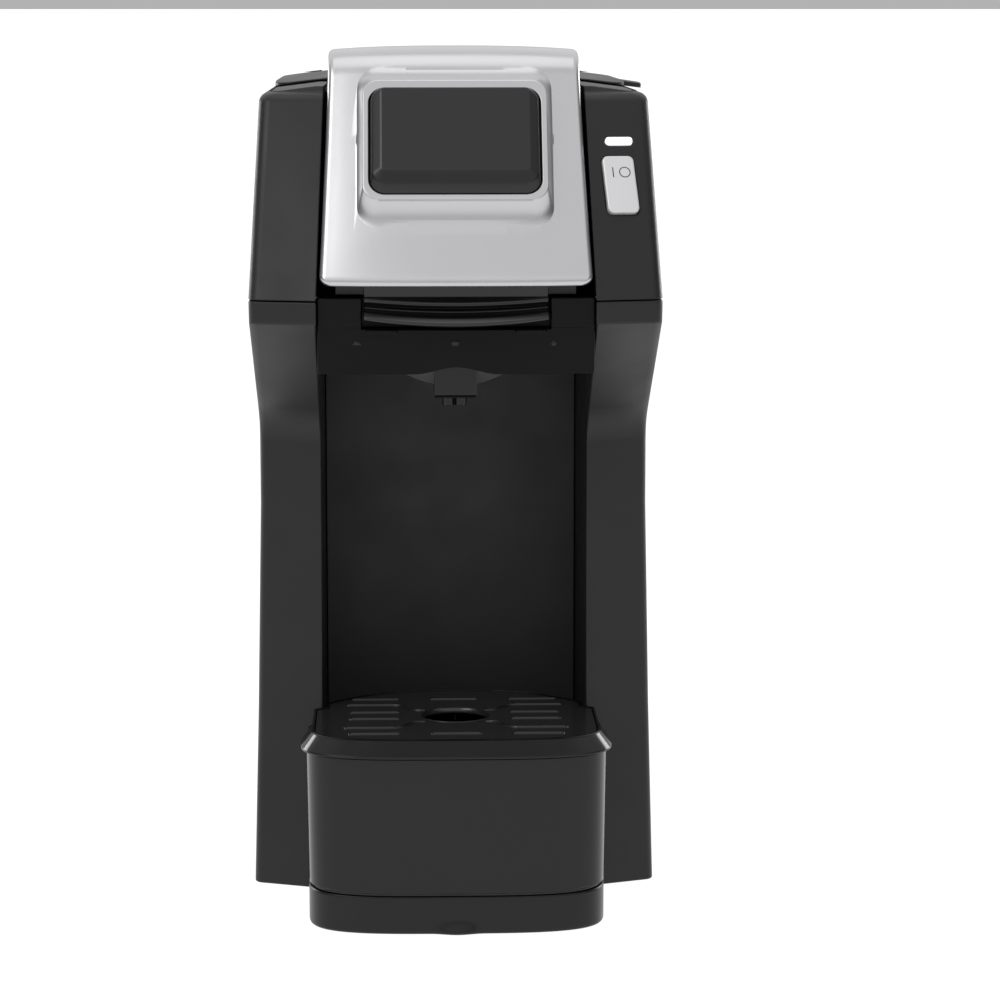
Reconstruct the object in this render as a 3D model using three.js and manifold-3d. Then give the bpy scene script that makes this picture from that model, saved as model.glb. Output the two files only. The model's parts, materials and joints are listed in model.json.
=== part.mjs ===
// A single-serve pod coffee maker, free-standing, in millimetres.
// +Z is up, the front faces -Y, +X is on the right as the user sees it.
// The origin is on the table, under the middle of the machine.
// Columns and head are hollow mouldings. A brew lid hinges up over the pod, a second lid opens the
// water tank, the brew button travels into the shoulder, and the cup rest, its drip tray and the
// tray's grate lift apart.

import * as THREE from "three";
import { mergeVertices } from "three/addons/utils/BufferGeometryUtils.js";
import Module from "manifold-3d";

const wasm = await Module();
wasm.setup();

// Walls, gaps and cuts that every piece shares
const wall = 2.4;
const thinWall = 1.8;
const seatGap = 0.3;
const slideGap = 0.6;
const overrun = 2;
const pi = Math.PI;

// Facets of round forms
const arcSteps = 4;
const frontSteps = 20;
const roundSides = 24;
const smallSides = 12;
const rollShare = 0.3;

// Head and shoulders, and the chamber between them, which takes the brew lid
const chamberHalfWidth = 49.5;
const chamberTaper = 2.4;
const shoulderReach = 24.2;
const shoulderTaper = 3.3;
const chamberTopHalfWidth = chamberHalfWidth - chamberTaper;
const headHalfWidth = chamberHalfWidth + shoulderReach;
const deckHalfWidth = headHalfWidth - shoulderTaper;
const chamberRearY = 3.5;
const seamZ = 230;
const seamGap = 0.4;
const headFrontY = -114;
const deckZ = 304.5;
const headLean = THREE.MathUtils.degToRad(29.4);
const headSetback = 6;
const deckSetback = 2.5;
const shoulderEdge = 5;
const deckEdge = 3.5;
const rearY = 117;
const rearRadius = 16;
const deckThickness = 6;
const deckFlatOver = 0.5;
const deckFlatHalfWidth = chamberHalfWidth + deckFlatOver;
const deckFallShare = 0.1275;

// Columns of the lower housing
const columnBottomZ = 1.5;
const columnFrontY = -56;
const columnSetback = 10;
const footWidthOver = 2.5;
const footWidth = headHalfWidth + footWidthOver;
const kneeInset = 2;
const waistInset = 3.6;
const kneeWidth = footWidth - kneeInset;
const waistWidth = footWidth - waistInset;
const kneeZ = 71;
const waistZ = 148;
const sweepLowZ = 179;
const sweepDrop = 8;
const sweepHighZ = seamZ - sweepDrop;
const sweepEase = 7;
const columnEdge = 4;

// Alcove between the columns and the panel at its back
const alcoveBackY = 21;
const panelThickness = 2.2;
const panelDrop = 14;
const panelTopZ = seamZ - panelDrop;

// Base: the front foot, the floor under the columns and the tongue that joins them
const footBottomZ = 0.8;
const footTopZ = 15;
const footSpread = 4.7;
const footHalfWidth = chamberHalfWidth + footSpread;
const footFrontY = -117.5;
const footSideY = -90;
const footEase = 1.2;
const floorTopZ = 5;
const fingerTabHalfWidth = 7;
const fingerTabDepth = 1.8;
const fingerTabHeight = 7;
const ventCount = 7;
const ventWidth = 3;
const ventLength = 40;
const ventPitch = 9;

// Rubber feet
const rubberRadius = 7.5;
const rubberHeight = 3.4;
const rubberPocket = 2.6;
const frontRubberInset = 16.2;
const frontRubberY = -92;
const rearRubberInset = 20.2;
const rearRubberY = 94;

// Cup rest, a drum that stands on the foot
const restBottomZ = 15.3;
const restSeamHeight = 0.9;
const restSeamInset = 1.2;
const restTopZ = 65.5;
const restLap = 0.1;
const restFlare = 0.7;
const restBottomHalfWidth = footHalfWidth + restLap;
const restTopHalfWidth = restBottomHalfWidth + restFlare;
const restBottomFrontY = -119.2;
const restTopFrontY = -116.5;
const restSideY = -90;
const restShoulderY = -58.5;
const restNeckGap = 0.9;
const restNeckHalfWidth = chamberHalfWidth - restNeckGap;
const restNeckY = -55.6;
const restBackOver = 11.4;
const restBackRadius = restNeckHalfWidth + restBackOver;
const restBackY = -23.5;
const restCurveShare = 3.5;

// Drip tray, its grip band and its basin
const trayRimZ = 72;
const trayInset = 2.1;
const trayHalfWidth = restTopHalfWidth - trayInset;
const trayFrontY = -113.6;
const trayBasinZ = 40;
const bandBottomZ = 66;
const bandSpread = 3.9;
const bandHalfWidth = trayHalfWidth + bandSpread;
const bandFrontY = -118.4;
const bandEndY = -86;
const grateLedge = 3;

// Grate
const grateThickness = 2.2;
const grateSkirtDepth = 4;
const grateRim = 1.1;
const cupHoleY = -70;
const cupHoleRadius = 12;
const slotWidth = 1.3;
const slotInnerX = 21.5;
const slotOuterX = 38.2;
const slotMiddleX = 8.2;
const slotBackY = -42;
const slotFrontY = -102;
const slotSideYs = [-65.3, -76.6];
const bentOuterX = 40;
const bentKneeX = 23.5;
const bentEndX = 11.8;
const bentBackYs = [-52.2, -61.6];
const bentFrontYs = [-91.7, -80.8];

// Brew head under the lid: fascia, flank pads and deck
const brewHeadLap = 1;
const brewHeadTopZ = seamZ + brewHeadLap;
const fasciaHeight = 27;
const fasciaBottomZ = brewHeadTopZ - fasciaHeight;
const fasciaFrontY = -112;
const fasciaCrown = 2;
const fasciaArch = 2.5;
const fasciaArchHalfWidth = 15;
const padInnerX = 33.6;
const padHeight = 10.4;
const padBottomZ = brewHeadTopZ - padHeight;
const padDepth = 1;
const handleRecessY = -103.4;
const ledgeOuterX = 32;
const ledgeInnerX = 21;
const ledgeHeight = 1.6;
const ledgeDepth = 1.6;

// Basket, pod holder and needles on the brewing axis
const brewY = -70;
const basketRimRadius = 31;
const basketRimThickness = 2;
const basketMouthRadius = 28;
const basketKneeRadius = 24;
const basketDomeRadius = 38;
const basketDrop = 35.7;
const basketBottomZ = brewHeadTopZ - basketDrop;
const basketDrainRadius = 3;
const holderRimRadius = 28.5;
const holderMouthRadius = 24;
const holderBaseRadius = 18.5;
const holderDrop = 28;
const holderBottomZ = brewHeadTopZ - holderDrop;
const needleRadius = 1.6;
const lowerNeedleX = 9;
const lowerNeedleLength = 9;
const needleBaseRadius = 4;
const needleBaseHeight = 2;

// Spout keel and its two nozzles
const keelHalfWidth = 7.6;
const keelFrontY = -97;
const keelBackY = -60;
const keelDrop = 25;
const keelHeight = 13;
const keelTopZ = brewHeadTopZ - keelDrop;
const keelBottomZ = keelTopZ - keelHeight;
const nozzleRadius = 2.2;
const nozzleBore = 1.3;
const nozzleSpacing = 4.5;
const nozzleLength = 5.5;
const nozzleBottomZ = keelBottomZ - nozzleLength;

// Brew lid: a lofted hood whose face leans back and rolls over to the hinge
const lidFrontGap = 4.3;
const lidBottomZ = brewHeadTopZ + lidFrontGap;
const lidFrontY = -118.6;
const lidSideGap = 1.1;
const lidTopSideGap = 1.6;
const lidBottomHalfWidth = chamberHalfWidth - lidSideGap;
const lidTopHalfWidth = chamberTopHalfWidth - lidTopSideGap;
const lidCrown = 2.8;
const lidEdge = 2.3;
const lidBevel = 5;
const lidBevelFall = 3;
const lidCorner = 4.5;
const lidSkirt = 10;
const lidFaceOver = 5.57;
const lidFaceLength = (deckZ - lidBottomZ) / Math.cos(headLean) + lidFaceOver;
const lidRollLead = 16.5;
const lidRoofLead = 26;
const lidRoofRise = 25.5;
const lidRoofZ = deckZ + lidRoofRise;
const lidTurnLength = 20;
const lidAcrossSteps = 8;
const lidRollSteps = 6;

// Hinge of the brew lid
const lidHingeY = -3;
const lidHingeDrop = 4;
const lidHingeZ = deckZ - lidHingeDrop;
const lidBarrelRadius = 4.4;
const lidPinRadius = 2;
const lidBarrelInset = 2;
const lidBarrelHalfWidth = lidTopHalfWidth - lidBarrelInset;

// Raised boss on the lid and the bare plate in it
const bossHalfWidth = 35.5;
const bossRise = 19.4;
const bossLowZ = lidBottomZ + bossRise;
const bossOver = 5;
const bossHighZ = deckZ + bossOver;
const bossHeight = 3;
const bossSideSlope = 3.5;
const bossTopSlope = 4.2;
const bossLowSlope = 10.4;
const bossCorner = 8;
const plateHalfWidth = 30.5;
const plateRise = 11;
const plateLowZ = bossLowZ + plateRise;
const plateDrop = 4.9;
const plateHighZ = bossHighZ - plateDrop;
const plateCorner = 5.5;
const plateBevelSide = 4;
const plateBevelTop = 1.6;
const plateWallLow = 4.6;
const plateBevelLow = 9.2;
const plateHeight = 5.5;
const plateWallHeight = 3.7;
const plateSkirt = 2;
const platePocket = 1.4;

// Liner inside the lid, with the pocket over the pod
const linerInset = 2.5;
const linerHalfWidth = lidTopHalfWidth - linerInset;
const linerBottomZ = brewHeadTopZ + 2 * seatGap;
const linerPocketHalfWidth = 33;
const linerPocketFrontY = -102.5;
const linerPocketRearY = -32;
const linerPocketCorner = 31;
const linerFrontY = -105;
const linerRearY = -12;
const linerPocketDepth = 12.4;
const linerPocketTopZ = linerBottomZ + linerPocketDepth;
const gasketRadius = 25;
const gasketWidth = 3.4;
const gasketHeight = 3;
const gasketLip = 1;
const upperNeedleReach = 22;
const upperNeedleTipZ = linerPocketTopZ - upperNeedleReach;

// Lift handle under the front of the lid
const handleSideGap = 0.9;
const handleHalfWidth = padInnerX - handleSideGap;
const handleLipY = -119.4;
const handleLipRise = 0.6;
const handleLipZ = padBottomZ + handleLipRise;
const handleLipHeight = 3;
const handleLipSag = 2;
const handleWaistY = -108.2;
const handleThickness = 2.6;
const handleEndTurn = 4;
const handleSlotHeight = 1.6;
const handleRidgeShare = 0.62;

// Water tank, its lid and the lid's hinge
const tankLidInset = 2.9;
const tankLidLap = 7.5;
const tankLidHalfWidth = deckHalfWidth - tankLidInset;
const tankHalfWidth = tankLidHalfWidth - tankLidLap;
const tankFrontY = 44;
const tankRearY = 102;
const tankBottomZ = 240;
const tankCorner = 9;
const tankFlange = 3;
const tankFlangeHeight = 1.8;
const tankFlangeDrop = 2;
const outletRadius = 6;
const outletBore = 3;
const outletY = 56;
const outletX = -26;
const outletLength = 8;
const tankLidFrontY = 5;
const tankLidCrest = 4.85;
const tankLidCrestZ = deckZ + tankLidCrest;
const tankLidEdge = 0.2;
const tankLidEdgeZ = deckZ + tankLidEdge;
const tankLidCorner = 7;
const tankLidLead = 18;
const tankLidFrontDrop = 1.2;
const tankHingeY = 109;
const tankHingeDrop = 2.1;
const tankHingeZ = deckZ - tankHingeDrop;
const tankBarrelRadius = 3.4;
const tankPinRadius = 1.5;
const tankBarrelInset = 15.5;
const tankBarrelHalfWidth = tankLidHalfWidth - tankBarrelInset;
const tankLidRearInset = 2.4;
const tabFrontY = 14;
const tabLength = 20;
const tabReach = 6.9;
const tabReachX = tankLidHalfWidth + tabReach;
const tabCorner = 2.2;

// Brew button, light and the board behind them, set into the right shoulder
const controlInset = 9.8;
const controlX = chamberHalfWidth + controlInset;
const buttonDrop = 35;
const buttonZ = deckZ - buttonDrop;
const buttonWidth = 11.6;
const buttonHeight = 22.6;
const buttonCorner = 2.2;
const buttonProud = 1.4;
const buttonDepth = 5.4;
const buttonFlange = 1.6;
const plungerRise = 1.5;
const lampCorner = 0.8;
const buttonTravel = 1.5;
const lightRise = 15.6;
const lightZ = buttonZ + lightRise;
const lightWidth = 9.8;
const lightHeight = 2.9;
const lightProud = 0.3;
const lightDepth = 4.6;
const boardWidth = 11;
const boardLength = 53;
const boardThickness = 1.6;
const boardDepth = 12;
const switchSize = 6;
const boardPostRadius = 2.2;

// Heater and water path in the rear of the lower housing
const heaterZ = 44;
const heaterY = 70;
const heaterRadius = 26;
const heaterTubeRadius = 7;
const heaterLeg = 26;
const bracketThickness = 2;
const bracketHalfWidth = 12;
const hoseRadius = 4.4;
const hoseBore = 2.8;
const hoseY = 34;
const hoseBend = 10;
const hoseDropZ = 190;
const hoseMeetZ = 110;
const hoseSteps = 16;
const valveRadius = 7.4;
const valveHeight = 16;
const valveShoulderShare = 0.55;
const sensorRadius = 8;
const sensorHeight = 7;
const fuseRadius = 2.6;
const fuseLength = 18;
const riserDrop = 22.5;
const riserTopZ = deckZ - riserDrop;
const elbowReach = 13;

// Rear cover and the bushing for the mains lead
const coverInset = 18.6;
const coverHalfWidth = waistWidth - coverInset;
const coverLowZ = 12;
const coverDrop = 10;
const coverHighZ = seamZ - coverDrop;
const coverCorner = 6;
const coverFlange = 3;
const bushingX = 38;
const bushingZ = 24;
const bushingRadius = 7;
const bushingBore = 3.6;
const bushingHeadDepth = 2.1;
const bushingHeadRadius = 9.5;

// A closed geometry as a solid that can be cut and joined.
function solidOf(geometry) {
  const bare = geometry.index ? geometry.toNonIndexed() : geometry.clone();
  bare.deleteAttribute("normal");
  bare.deleteAttribute("uv");
  const merged = mergeVertices(bare);
  const corners = merged.index.array;
  const faces = [];
  for (let i = 0; i < corners.length; i += 3) {
    const [a, b, c] = corners.slice(i, i + 3);
    if (a !== b && b !== c && c !== a) faces.push(a, b, c);
  }
  return new wasm.Manifold(
    new wasm.Mesh({
      numProp: 3,
      vertProperties: merged.attributes.position.array,
      triVerts: new Uint32Array(faces),
    }),
  );
}

// A solid as a geometry for a mesh.
function geometryOf(solid) {
  const mesh = solid.getMesh();
  const geometry = new THREE.BufferGeometry();
  geometry.setAttribute("position", new THREE.BufferAttribute(mesh.vertProperties, mesh.numProp));
  geometry.setIndex(new THREE.BufferAttribute(mesh.triVerts, 1));
  const faceted = geometry.toNonIndexed();
  faceted.computeVertexNormals();
  return faceted;
}

// The axis along which a closed loop of points has the largest area.
function flatAxis(loop) {
  const normal = new THREE.Vector3();
  loop.forEach((point, i) => {
    const next = loop[(i + 1) % loop.length];
    normal.add(new THREE.Vector3().crossVectors(point, next));
  });
  const sizes = normal.toArray().map(Math.abs);
  return sizes.indexOf(Math.max(...sizes));
}

// Triangles that close a loop, wound the way the loop runs.
function capFaces(loop) {
  const axis = flatAxis(loop);
  const flat = loop.map((point) => {
    const [u, v] = point.toArray().filter((_, i) => i !== axis);
    return new THREE.Vector2(u, v);
  });
  const turned = THREE.ShapeUtils.isClockWise(flat);
  return THREE.ShapeUtils.triangulateShape(flat, []).map(([a, b, c]) => {
    const face = [flat[a], flat[b], flat[c]];
    return THREE.ShapeUtils.isClockWise(face) === turned ? [a, b, c] : [a, c, b];
  });
}

// A solid through loops of equally many points, closed at its first and last loop.
function loft(loops) {
  const count = loops[0].length;
  const faces = [];
  for (let i = 1; i < loops.length; i++) {
    for (let j = 0; j < count; j++) {
      const k = (j + 1) % count;
      const [a, b] = [loops[i - 1][j], loops[i - 1][k]];
      const [d, c] = [loops[i][j], loops[i][k]];
      faces.push([a, b, c], [a, c, d]);
    }
  }
  const first = loops[0];
  const last = loops.at(-1);
  capFaces(first).forEach(([a, b, c]) => faces.push([first[a], first[c], first[b]]));
  capFaces(last).forEach(([a, b, c]) => faces.push([last[a], last[b], last[c]]));
  const volume = faces.reduce((sum, [a, b, c]) => sum + a.dot(b.clone().cross(c)), 0);
  const outward = volume > 0 ? faces : faces.map(([a, b, c]) => [a, c, b]);
  return solidOf(new THREE.BufferGeometry().setFromPoints(outward.flat()));
}

// A corner of an outline, with the radius that rounds it.
function corner(x, y, radius = 0) {
  return { at: new THREE.Vector2(x, y), radius };
}

// The outline through corners, each rounded by its radius.
function rounded(corners) {
  const points = [];
  corners.forEach(({ at, radius }, i) => {
    if (!radius) {
      points.push(at.clone());
      return;
    }
    const toBefore = corners.at(i - 1).at.clone().sub(at).normalize();
    const toAfter = corners[(i + 1) % corners.length].at.clone().sub(at).normalize();
    const half = Math.acos(toBefore.dot(toAfter)) / 2;
    const reach = radius / Math.tan(half);
    const centre = toBefore.clone().add(toAfter).normalize();
    centre.multiplyScalar(radius / Math.sin(half)).add(at);
    const from = toBefore.multiplyScalar(reach).add(at).sub(centre).angle();
    const to = toAfter.multiplyScalar(reach).add(at).sub(centre).angle();
    const turn = THREE.MathUtils.euclideanModulo(to - from + pi, 2 * pi) - pi;
    for (let k = 0; k <= arcSteps; k++) {
      const angle = from + (turn * k) / arcSteps;
      const spoke = new THREE.Vector2(Math.cos(angle), Math.sin(angle));
      points.push(spoke.multiplyScalar(radius).add(centre));
    }
  });
  return points;
}

// Corners on the right-hand side, given from front to rear, with their mirror images.
function mirrored(corners) {
  const left = corners.map(({ at, radius }) => corner(-at.x, at.y, radius)).reverse();
  return [...corners, ...left];
}

// A plan outline lifted to a height.
function level(outline, z) {
  return outline.map((point) => new THREE.Vector3(point.x, point.y, z));
}

// An upright solid on a plan outline.
function prism(outline, lowZ, highZ) {
  return loft([level(outline, lowZ), level(outline, highZ)]);
}

// The outline of a rectangle with rounded corners.
function rectangle(lowX, highX, lowY, highY, radius = 0) {
  return rounded([
    corner(lowX, lowY, radius),
    corner(highX, lowY, radius),
    corner(highX, highY, radius),
    corner(lowX, highY, radius),
  ]);
}

// A block between two opposite corners.
function block(lowX, highX, lowY, highY, lowZ, highZ) {
  const geometry = new THREE.BoxGeometry(highX - lowX, highY - lowY, highZ - lowZ);
  geometry.translate((lowX + highX) / 2, (lowY + highY) / 2, (lowZ + highZ) / 2);
  return solidOf(geometry);
}

// An upright cylinder.
function post(x, y, lowZ, highZ, radius, sides = roundSides) {
  const geometry = new THREE.CylinderGeometry(radius, radius, highZ - lowZ, sides);
  geometry.rotateX(pi / 2).translate(x, y, (lowZ + highZ) / 2);
  return solidOf(geometry);
}

// A cylinder across the machine, along X.
function crossRod(lowX, highX, y, z, radius) {
  const geometry = new THREE.CylinderGeometry(radius, radius, highX - lowX, smallSides);
  geometry.rotateZ(pi / 2).translate((lowX + highX) / 2, y, z);
  return solidOf(geometry);
}

// A cylinder from front to rear, along Y.
function deepRod(x, lowY, highY, z, radius) {
  const geometry = new THREE.CylinderGeometry(radius, radius, highY - lowY, smallSides);
  geometry.translate(x, (lowY + highY) / 2, z);
  return solidOf(geometry);
}

// A solid of revolution about an upright axis, from points of radius and height.
function turned(x, y, profile, sides = roundSides) {
  const points = profile.map(([radius, z]) => new THREE.Vector2(radius, z));
  const geometry = new THREE.LatheGeometry(points, sides);
  geometry.rotateX(pi / 2).translate(x, y, 0);
  const solid = solidOf(geometry);
  if (solid.volume() > 0) return solid;
  const mirror = new THREE.LatheGeometry(points.reverse(), sides);
  mirror.rotateX(pi / 2).translate(x, y, 0);
  return solidOf(mirror);
}

// A side profile, points of Y and Z, pushed out across the machine.
function across(profile, lowX, highX) {
  const loop = (x) => profile.map(([y, z]) => new THREE.Vector3(x, y, z));
  return loft([loop(lowX), loop(highX)]);
}

// A pipe along a path, with an open bore where one is given.
function pipe(path, radius, bore, steps) {
  const shape = new THREE.Shape().absarc(0, 0, radius, 0, 2 * pi);
  if (bore) shape.holes.push(new THREE.Path().absarc(0, 0, bore, 0, 2 * pi, true));
  const options = { steps, extrudePath: path, bevelEnabled: false, curveSegments: arcSteps };
  return solidOf(new THREE.ExtrudeGeometry(shape, options));
}

// All solids joined into one.
function joined(...solids) {
  return solids.reduce((sum, solid) => sum.add(solid));
}

// The first solid with the others cut from it.
function cutBy(solid, ...cutters) {
  return cutters.reduce((rest, cutter) => rest.subtract(cutter), solid);
}

// A value between two others, at a height between their heights.
function along(z, [lowZ, low], [highZ, high]) {
  return THREE.MathUtils.mapLinear(z, lowZ, highZ, low, high);
}

// A value at a height, from a table of heights and values.
function fromTable(z, table) {
  const next = Math.max(1, table.findIndex(([height]) => height >= z));
  const last = z > table.at(-1)[0] ? table.length - 1 : next;
  return along(z, table[last - 1], table[last]);
}

// Outline, across and up in a leaning plane, as a loft between distances out of the plane.
function standing(frame, layers) {
  const loops = layers.map(([outline, out]) =>
    level(outline, out).map((point) => point.applyMatrix4(frame)),
  );
  return loft(loops);
}

// The frame of a leaning plane: X across, Y up the slope, Z out of it.
function leaningFrame(origin, right, up) {
  const out = new THREE.Vector3().crossVectors(right, up).normalize();
  const slope = new THREE.Vector3().crossVectors(out, right).normalize();
  const frame = new THREE.Matrix4().makeBasis(right.clone().normalize(), slope, out);
  return frame.setPosition(origin);
}

const sine = Math.sin(headLean);
const cosine = Math.cos(headLean);
const lean = Math.tan(headLean);

// Half width of the housing below the seam.
function columnWidth(z) {
  return fromTable(z, [
    [columnBottomZ, footWidth],
    [kneeZ, kneeWidth],
    [waistZ, waistWidth],
    [sweepLowZ, waistWidth],
    [seamZ, headHalfWidth],
  ]);
}

// How far up the sweep a height is: nothing on the columns, all of it under the seam.
function sweepShare(z) {
  const low = sweepLowZ - sweepEase;
  const eased = (z - low) ** 2 / (4 * sweepEase);
  const climbed = z < sweepLowZ + sweepEase ? eased : z - sweepLowZ;
  return z < low ? 0 : Math.min(climbed / (sweepHighZ - sweepLowZ), 1);
}

// Plan outline of the housing, columns and sweep, at a height.
function columnLevel(z, inset) {
  const share = sweepShare(z);
  const frontY = THREE.MathUtils.lerp(columnFrontY, headFrontY, share) + inset;
  const setback = THREE.MathUtils.lerp(columnSetback, headSetback, share);
  const sideX = columnWidth(z) - inset;
  const outline = rounded(
    mirrored([
      corner(chamberHalfWidth, frontY),
      corner(sideX, frontY + setback, columnEdge),
      corner(sideX, rearY - inset, rearRadius - inset),
    ]),
  );
  return level(outline, z);
}

// Loft of the housing below the seam, inset by a wall and run past its ends.
function columnBody(inset, past) {
  const topZ = seamZ - seamGap / 2;
  const heights = [
    columnBottomZ,
    kneeZ,
    waistZ,
    sweepLowZ - sweepEase,
    sweepLowZ - sweepEase / 2,
    sweepLowZ,
    sweepLowZ + sweepEase / 2,
    sweepLowZ + sweepEase,
    sweepHighZ,
    topZ,
  ];
  const loops = heights.map((z) => columnLevel(z, inset));
  if (past) {
    loops.unshift(loops[0].map((point) => point.clone().setZ(columnBottomZ - past)));
    loops.push(loops.at(-1).map((point) => point.clone().setZ(topZ + past)));
  }
  return loft(loops);
}

// Columns, sweep and rear wall in one moulding, open above and below.
function lowerHousing() {
  const backY = alcoveBackY + panelThickness + seatGap;
  const topZ = seamZ + overrun;
  const lowZ = columnBottomZ - overrun;
  const alcove = block(
    -chamberHalfWidth, chamberHalfWidth, headFrontY - overrun, backY, lowZ, topZ,
  );
  const alcoveWall = block(
    -chamberHalfWidth - wall, chamberHalfWidth + wall,
    headFrontY - overrun, backY + wall, lowZ - overrun, topZ + overrun,
  );
  const hollow = columnBody(wall, overrun);
  const floorSpace = hollow.intersect(
    block(-footWidth, footWidth, headFrontY, rearY, lowZ, floorTopZ + seatGap),
  );
  const coverOpening = coverPlate(0, rearY - wall - overrun, rearY + overrun);
  return cutBy(
    columnBody(0, 0), hollow.subtract(alcoveWall), alcove, floorSpace, coverOpening,
  );
}

// The rear cover's outline between two depths, grown by a margin.
function coverPlate(margin, frontY, backY) {
  const outline = rectangle(
    -coverHalfWidth - margin, coverHalfWidth + margin,
    coverLowZ - margin, coverHighZ + margin, coverCorner + margin,
  );
  const loop = (y) => outline.map((point) => new THREE.Vector3(point.x, y, point.y));
  return loft([loop(frontY), loop(backY)]);
}

// Rear cover, a plate in the opening with a flange behind its edge.
function rearCover() {
  const innerY = rearY - wall - seatGap;
  const plate = coverPlate(-seatGap, innerY - overrun, rearY);
  const flange = coverPlate(coverFlange, innerY - wall, innerY);
  const bore = deepRod(
    bushingX, innerY - wall - overrun, rearY + overrun, bushingZ, bushingRadius + seatGap,
  );
  return cutBy(plate.add(flange), bore);
}

// Bushing in the rear cover, where the mains lead goes in.
function cordBushing() {
  const innerY = rearY - wall - seatGap - wall;
  const headY = rearY + seatGap;
  const shank = deepRod(bushingX, innerY, headY + bushingHeadDepth, bushingZ, bushingRadius);
  const head = deepRod(bushingX, headY, headY + bushingHeadDepth, bushingZ, bushingHeadRadius);
  const bore = deepRod(
    bushingX, innerY - overrun, headY + bushingHeadDepth + overrun, bushingZ, bushingBore,
  );
  return cutBy(shank.add(head), bore);
}

// Panel at the back of the alcove.
function alcovePanel() {
  const halfWidth = chamberHalfWidth - seatGap;
  return block(
    -halfWidth, halfWidth, alcoveBackY, alcoveBackY + panelThickness,
    footTopZ + seatGap, panelTopZ,
  );
}

// Front edge of a round-nosed outline, from its left side to its right.
function nose(halfWidth, frontY, sideY) {
  const power = 2 / restCurveShare;
  return Array.from({ length: frontSteps + 1 }, (_, i) => {
    const angle = (pi * i) / frontSteps;
    const x = -Math.sign(Math.cos(angle)) * Math.abs(Math.cos(angle)) ** power;
    return new THREE.Vector2(halfWidth * x, sideY - (sideY - frontY) * Math.sin(angle) ** power);
  });
}

// Outline of the foot, inset by a wall.
function footOutline(inset) {
  const backY = columnFrontY - 2 * slideGap - inset;
  const halfWidth = footHalfWidth - inset;
  return [
    ...nose(halfWidth, footFrontY + inset, footSideY),
    new THREE.Vector2(halfWidth, backY),
    new THREE.Vector2(-halfWidth, backY),
  ];
}

// A round boss with the pocket that holds a rubber foot.
function rubberBoss(x, y, topZ) {
  return post(x, y, footBottomZ + slideGap, topZ, rubberRadius + seatGap + wall);
}

function rubberPockets() {
  const topZ = rubberHeight + seatGap;
  return rubberPlaces.map(({ x, y }) => post(x, y, -overrun, topZ, rubberRadius + seatGap));
}

const rubberPlaces = [
  { name: "rubber_foot_front_left", x: frontRubberInset - footHalfWidth, y: frontRubberY },
  { name: "rubber_foot_front_right", x: footHalfWidth - frontRubberInset, y: frontRubberY },
  { name: "rubber_foot_rear_left", x: rearRubberInset - footWidth, y: rearRubberY },
  { name: "rubber_foot_rear_right", x: footWidth - rearRubberInset, y: rearRubberY },
];

// One rubber foot, with a soft lower edge.
function rubberFoot({ x, y }) {
  const ease = rubberHeight - rubberPocket;
  return turned(x, y, [
    [0, 0],
    [rubberRadius - ease, 0],
    [rubberRadius, ease],
    [rubberRadius, rubberHeight],
    [0, rubberHeight],
  ]);
}

// Foot, tongue between the columns and floor under them, hollow from below.
function base() {
  const tongueX = chamberHalfWidth - seatGap;
  const tongueY = alcoveBackY - seatGap;
  const roofZ = footTopZ - wall;
  const foot = loft([
    level(footOutline(footEase), footBottomZ),
    level(footOutline(0), footBottomZ + footEase),
    level(footOutline(0), footTopZ),
  ]);
  const frontOfTongue = columnFrontY - wall - overrun;
  const tongue = block(-tongueX, tongueX, frontOfTongue, tongueY, footBottomZ, footTopZ);
  const floorLoop = columnLevel(columnBottomZ, wall + seatGap);
  const floorPlan = floorLoop.map((point) => new THREE.Vector2(point.x, point.y));
  const floor = prism(floorPlan, columnBottomZ + seatGap, floorTopZ);
  const footHollow = prism(footOutline(wall), -overrun, roofZ);
  const tongueHollow = block(
    wall - tongueX, tongueX - wall, frontOfTongue - overrun, tongueY - wall, -overrun, roofZ,
  );
  const bosses = rubberPlaces.map(({ x, y }) =>
    rubberBoss(x, y, y < columnFrontY ? roofZ + seatGap : floorTopZ + rubberHeight - seatGap),
  );
  const vents = Array.from({ length: ventCount }, (_, i) => {
    const x = (i - (ventCount - 1) / 2) * ventPitch;
    const frontY = heaterY - ventLength / 2;
    const halfWidth = ventWidth / 2;
    return block(x - halfWidth, x + halfWidth, frontY, frontY + ventLength, 0, footTopZ);
  });
  const shell = cutBy(joined(foot, tongue, floor), footHollow, tongueHollow);
  const body = joined(shell, fingerTab(), ...bosses);
  return cutBy(body, ...rubberPockets(), ...vents);
}

// Small lip at the front of the foot, a hold for lifting the cup rest off.
function fingerTab() {
  const lowX = -fingerTabHalfWidth;
  const frontY = footFrontY - fingerTabDepth;
  const backY = footFrontY + wall;
  const outline = rounded([
    corner(lowX, frontY, fingerTabDepth),
    corner(fingerTabHalfWidth, frontY, fingerTabDepth),
    corner(fingerTabHalfWidth, backY),
    corner(lowX, backY),
  ]);
  return prism(outline, footBottomZ, footBottomZ + fingerTabHeight);
}

// Plan outline of the cup rest family: round nose, straight sides, neck and round back.
function restOutline(halfWidth, frontY, inset) {
  const sideX = halfWidth - inset;
  const neckX = restNeckHalfWidth - inset;
  const radius = restBackRadius - inset;
  const centreY = restBackY - restBackRadius;
  const reach = Math.asin(neckX / radius);
  const right = Array.from({ length: frontSteps / 2 + 1 }, (_, i) => {
    const angle = reach * (1 - (4 * i) / frontSteps);
    return new THREE.Vector2(radius * Math.sin(angle), centreY + radius * Math.cos(angle));
  });
  return [
    ...nose(sideX, frontY + inset, restSideY),
    new THREE.Vector2(sideX, restShoulderY - inset),
    new THREE.Vector2(neckX, restNeckY - inset),
    ...right,
    new THREE.Vector2(-neckX, restNeckY - inset),
    new THREE.Vector2(-sideX, restShoulderY - inset),
  ];
}

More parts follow.
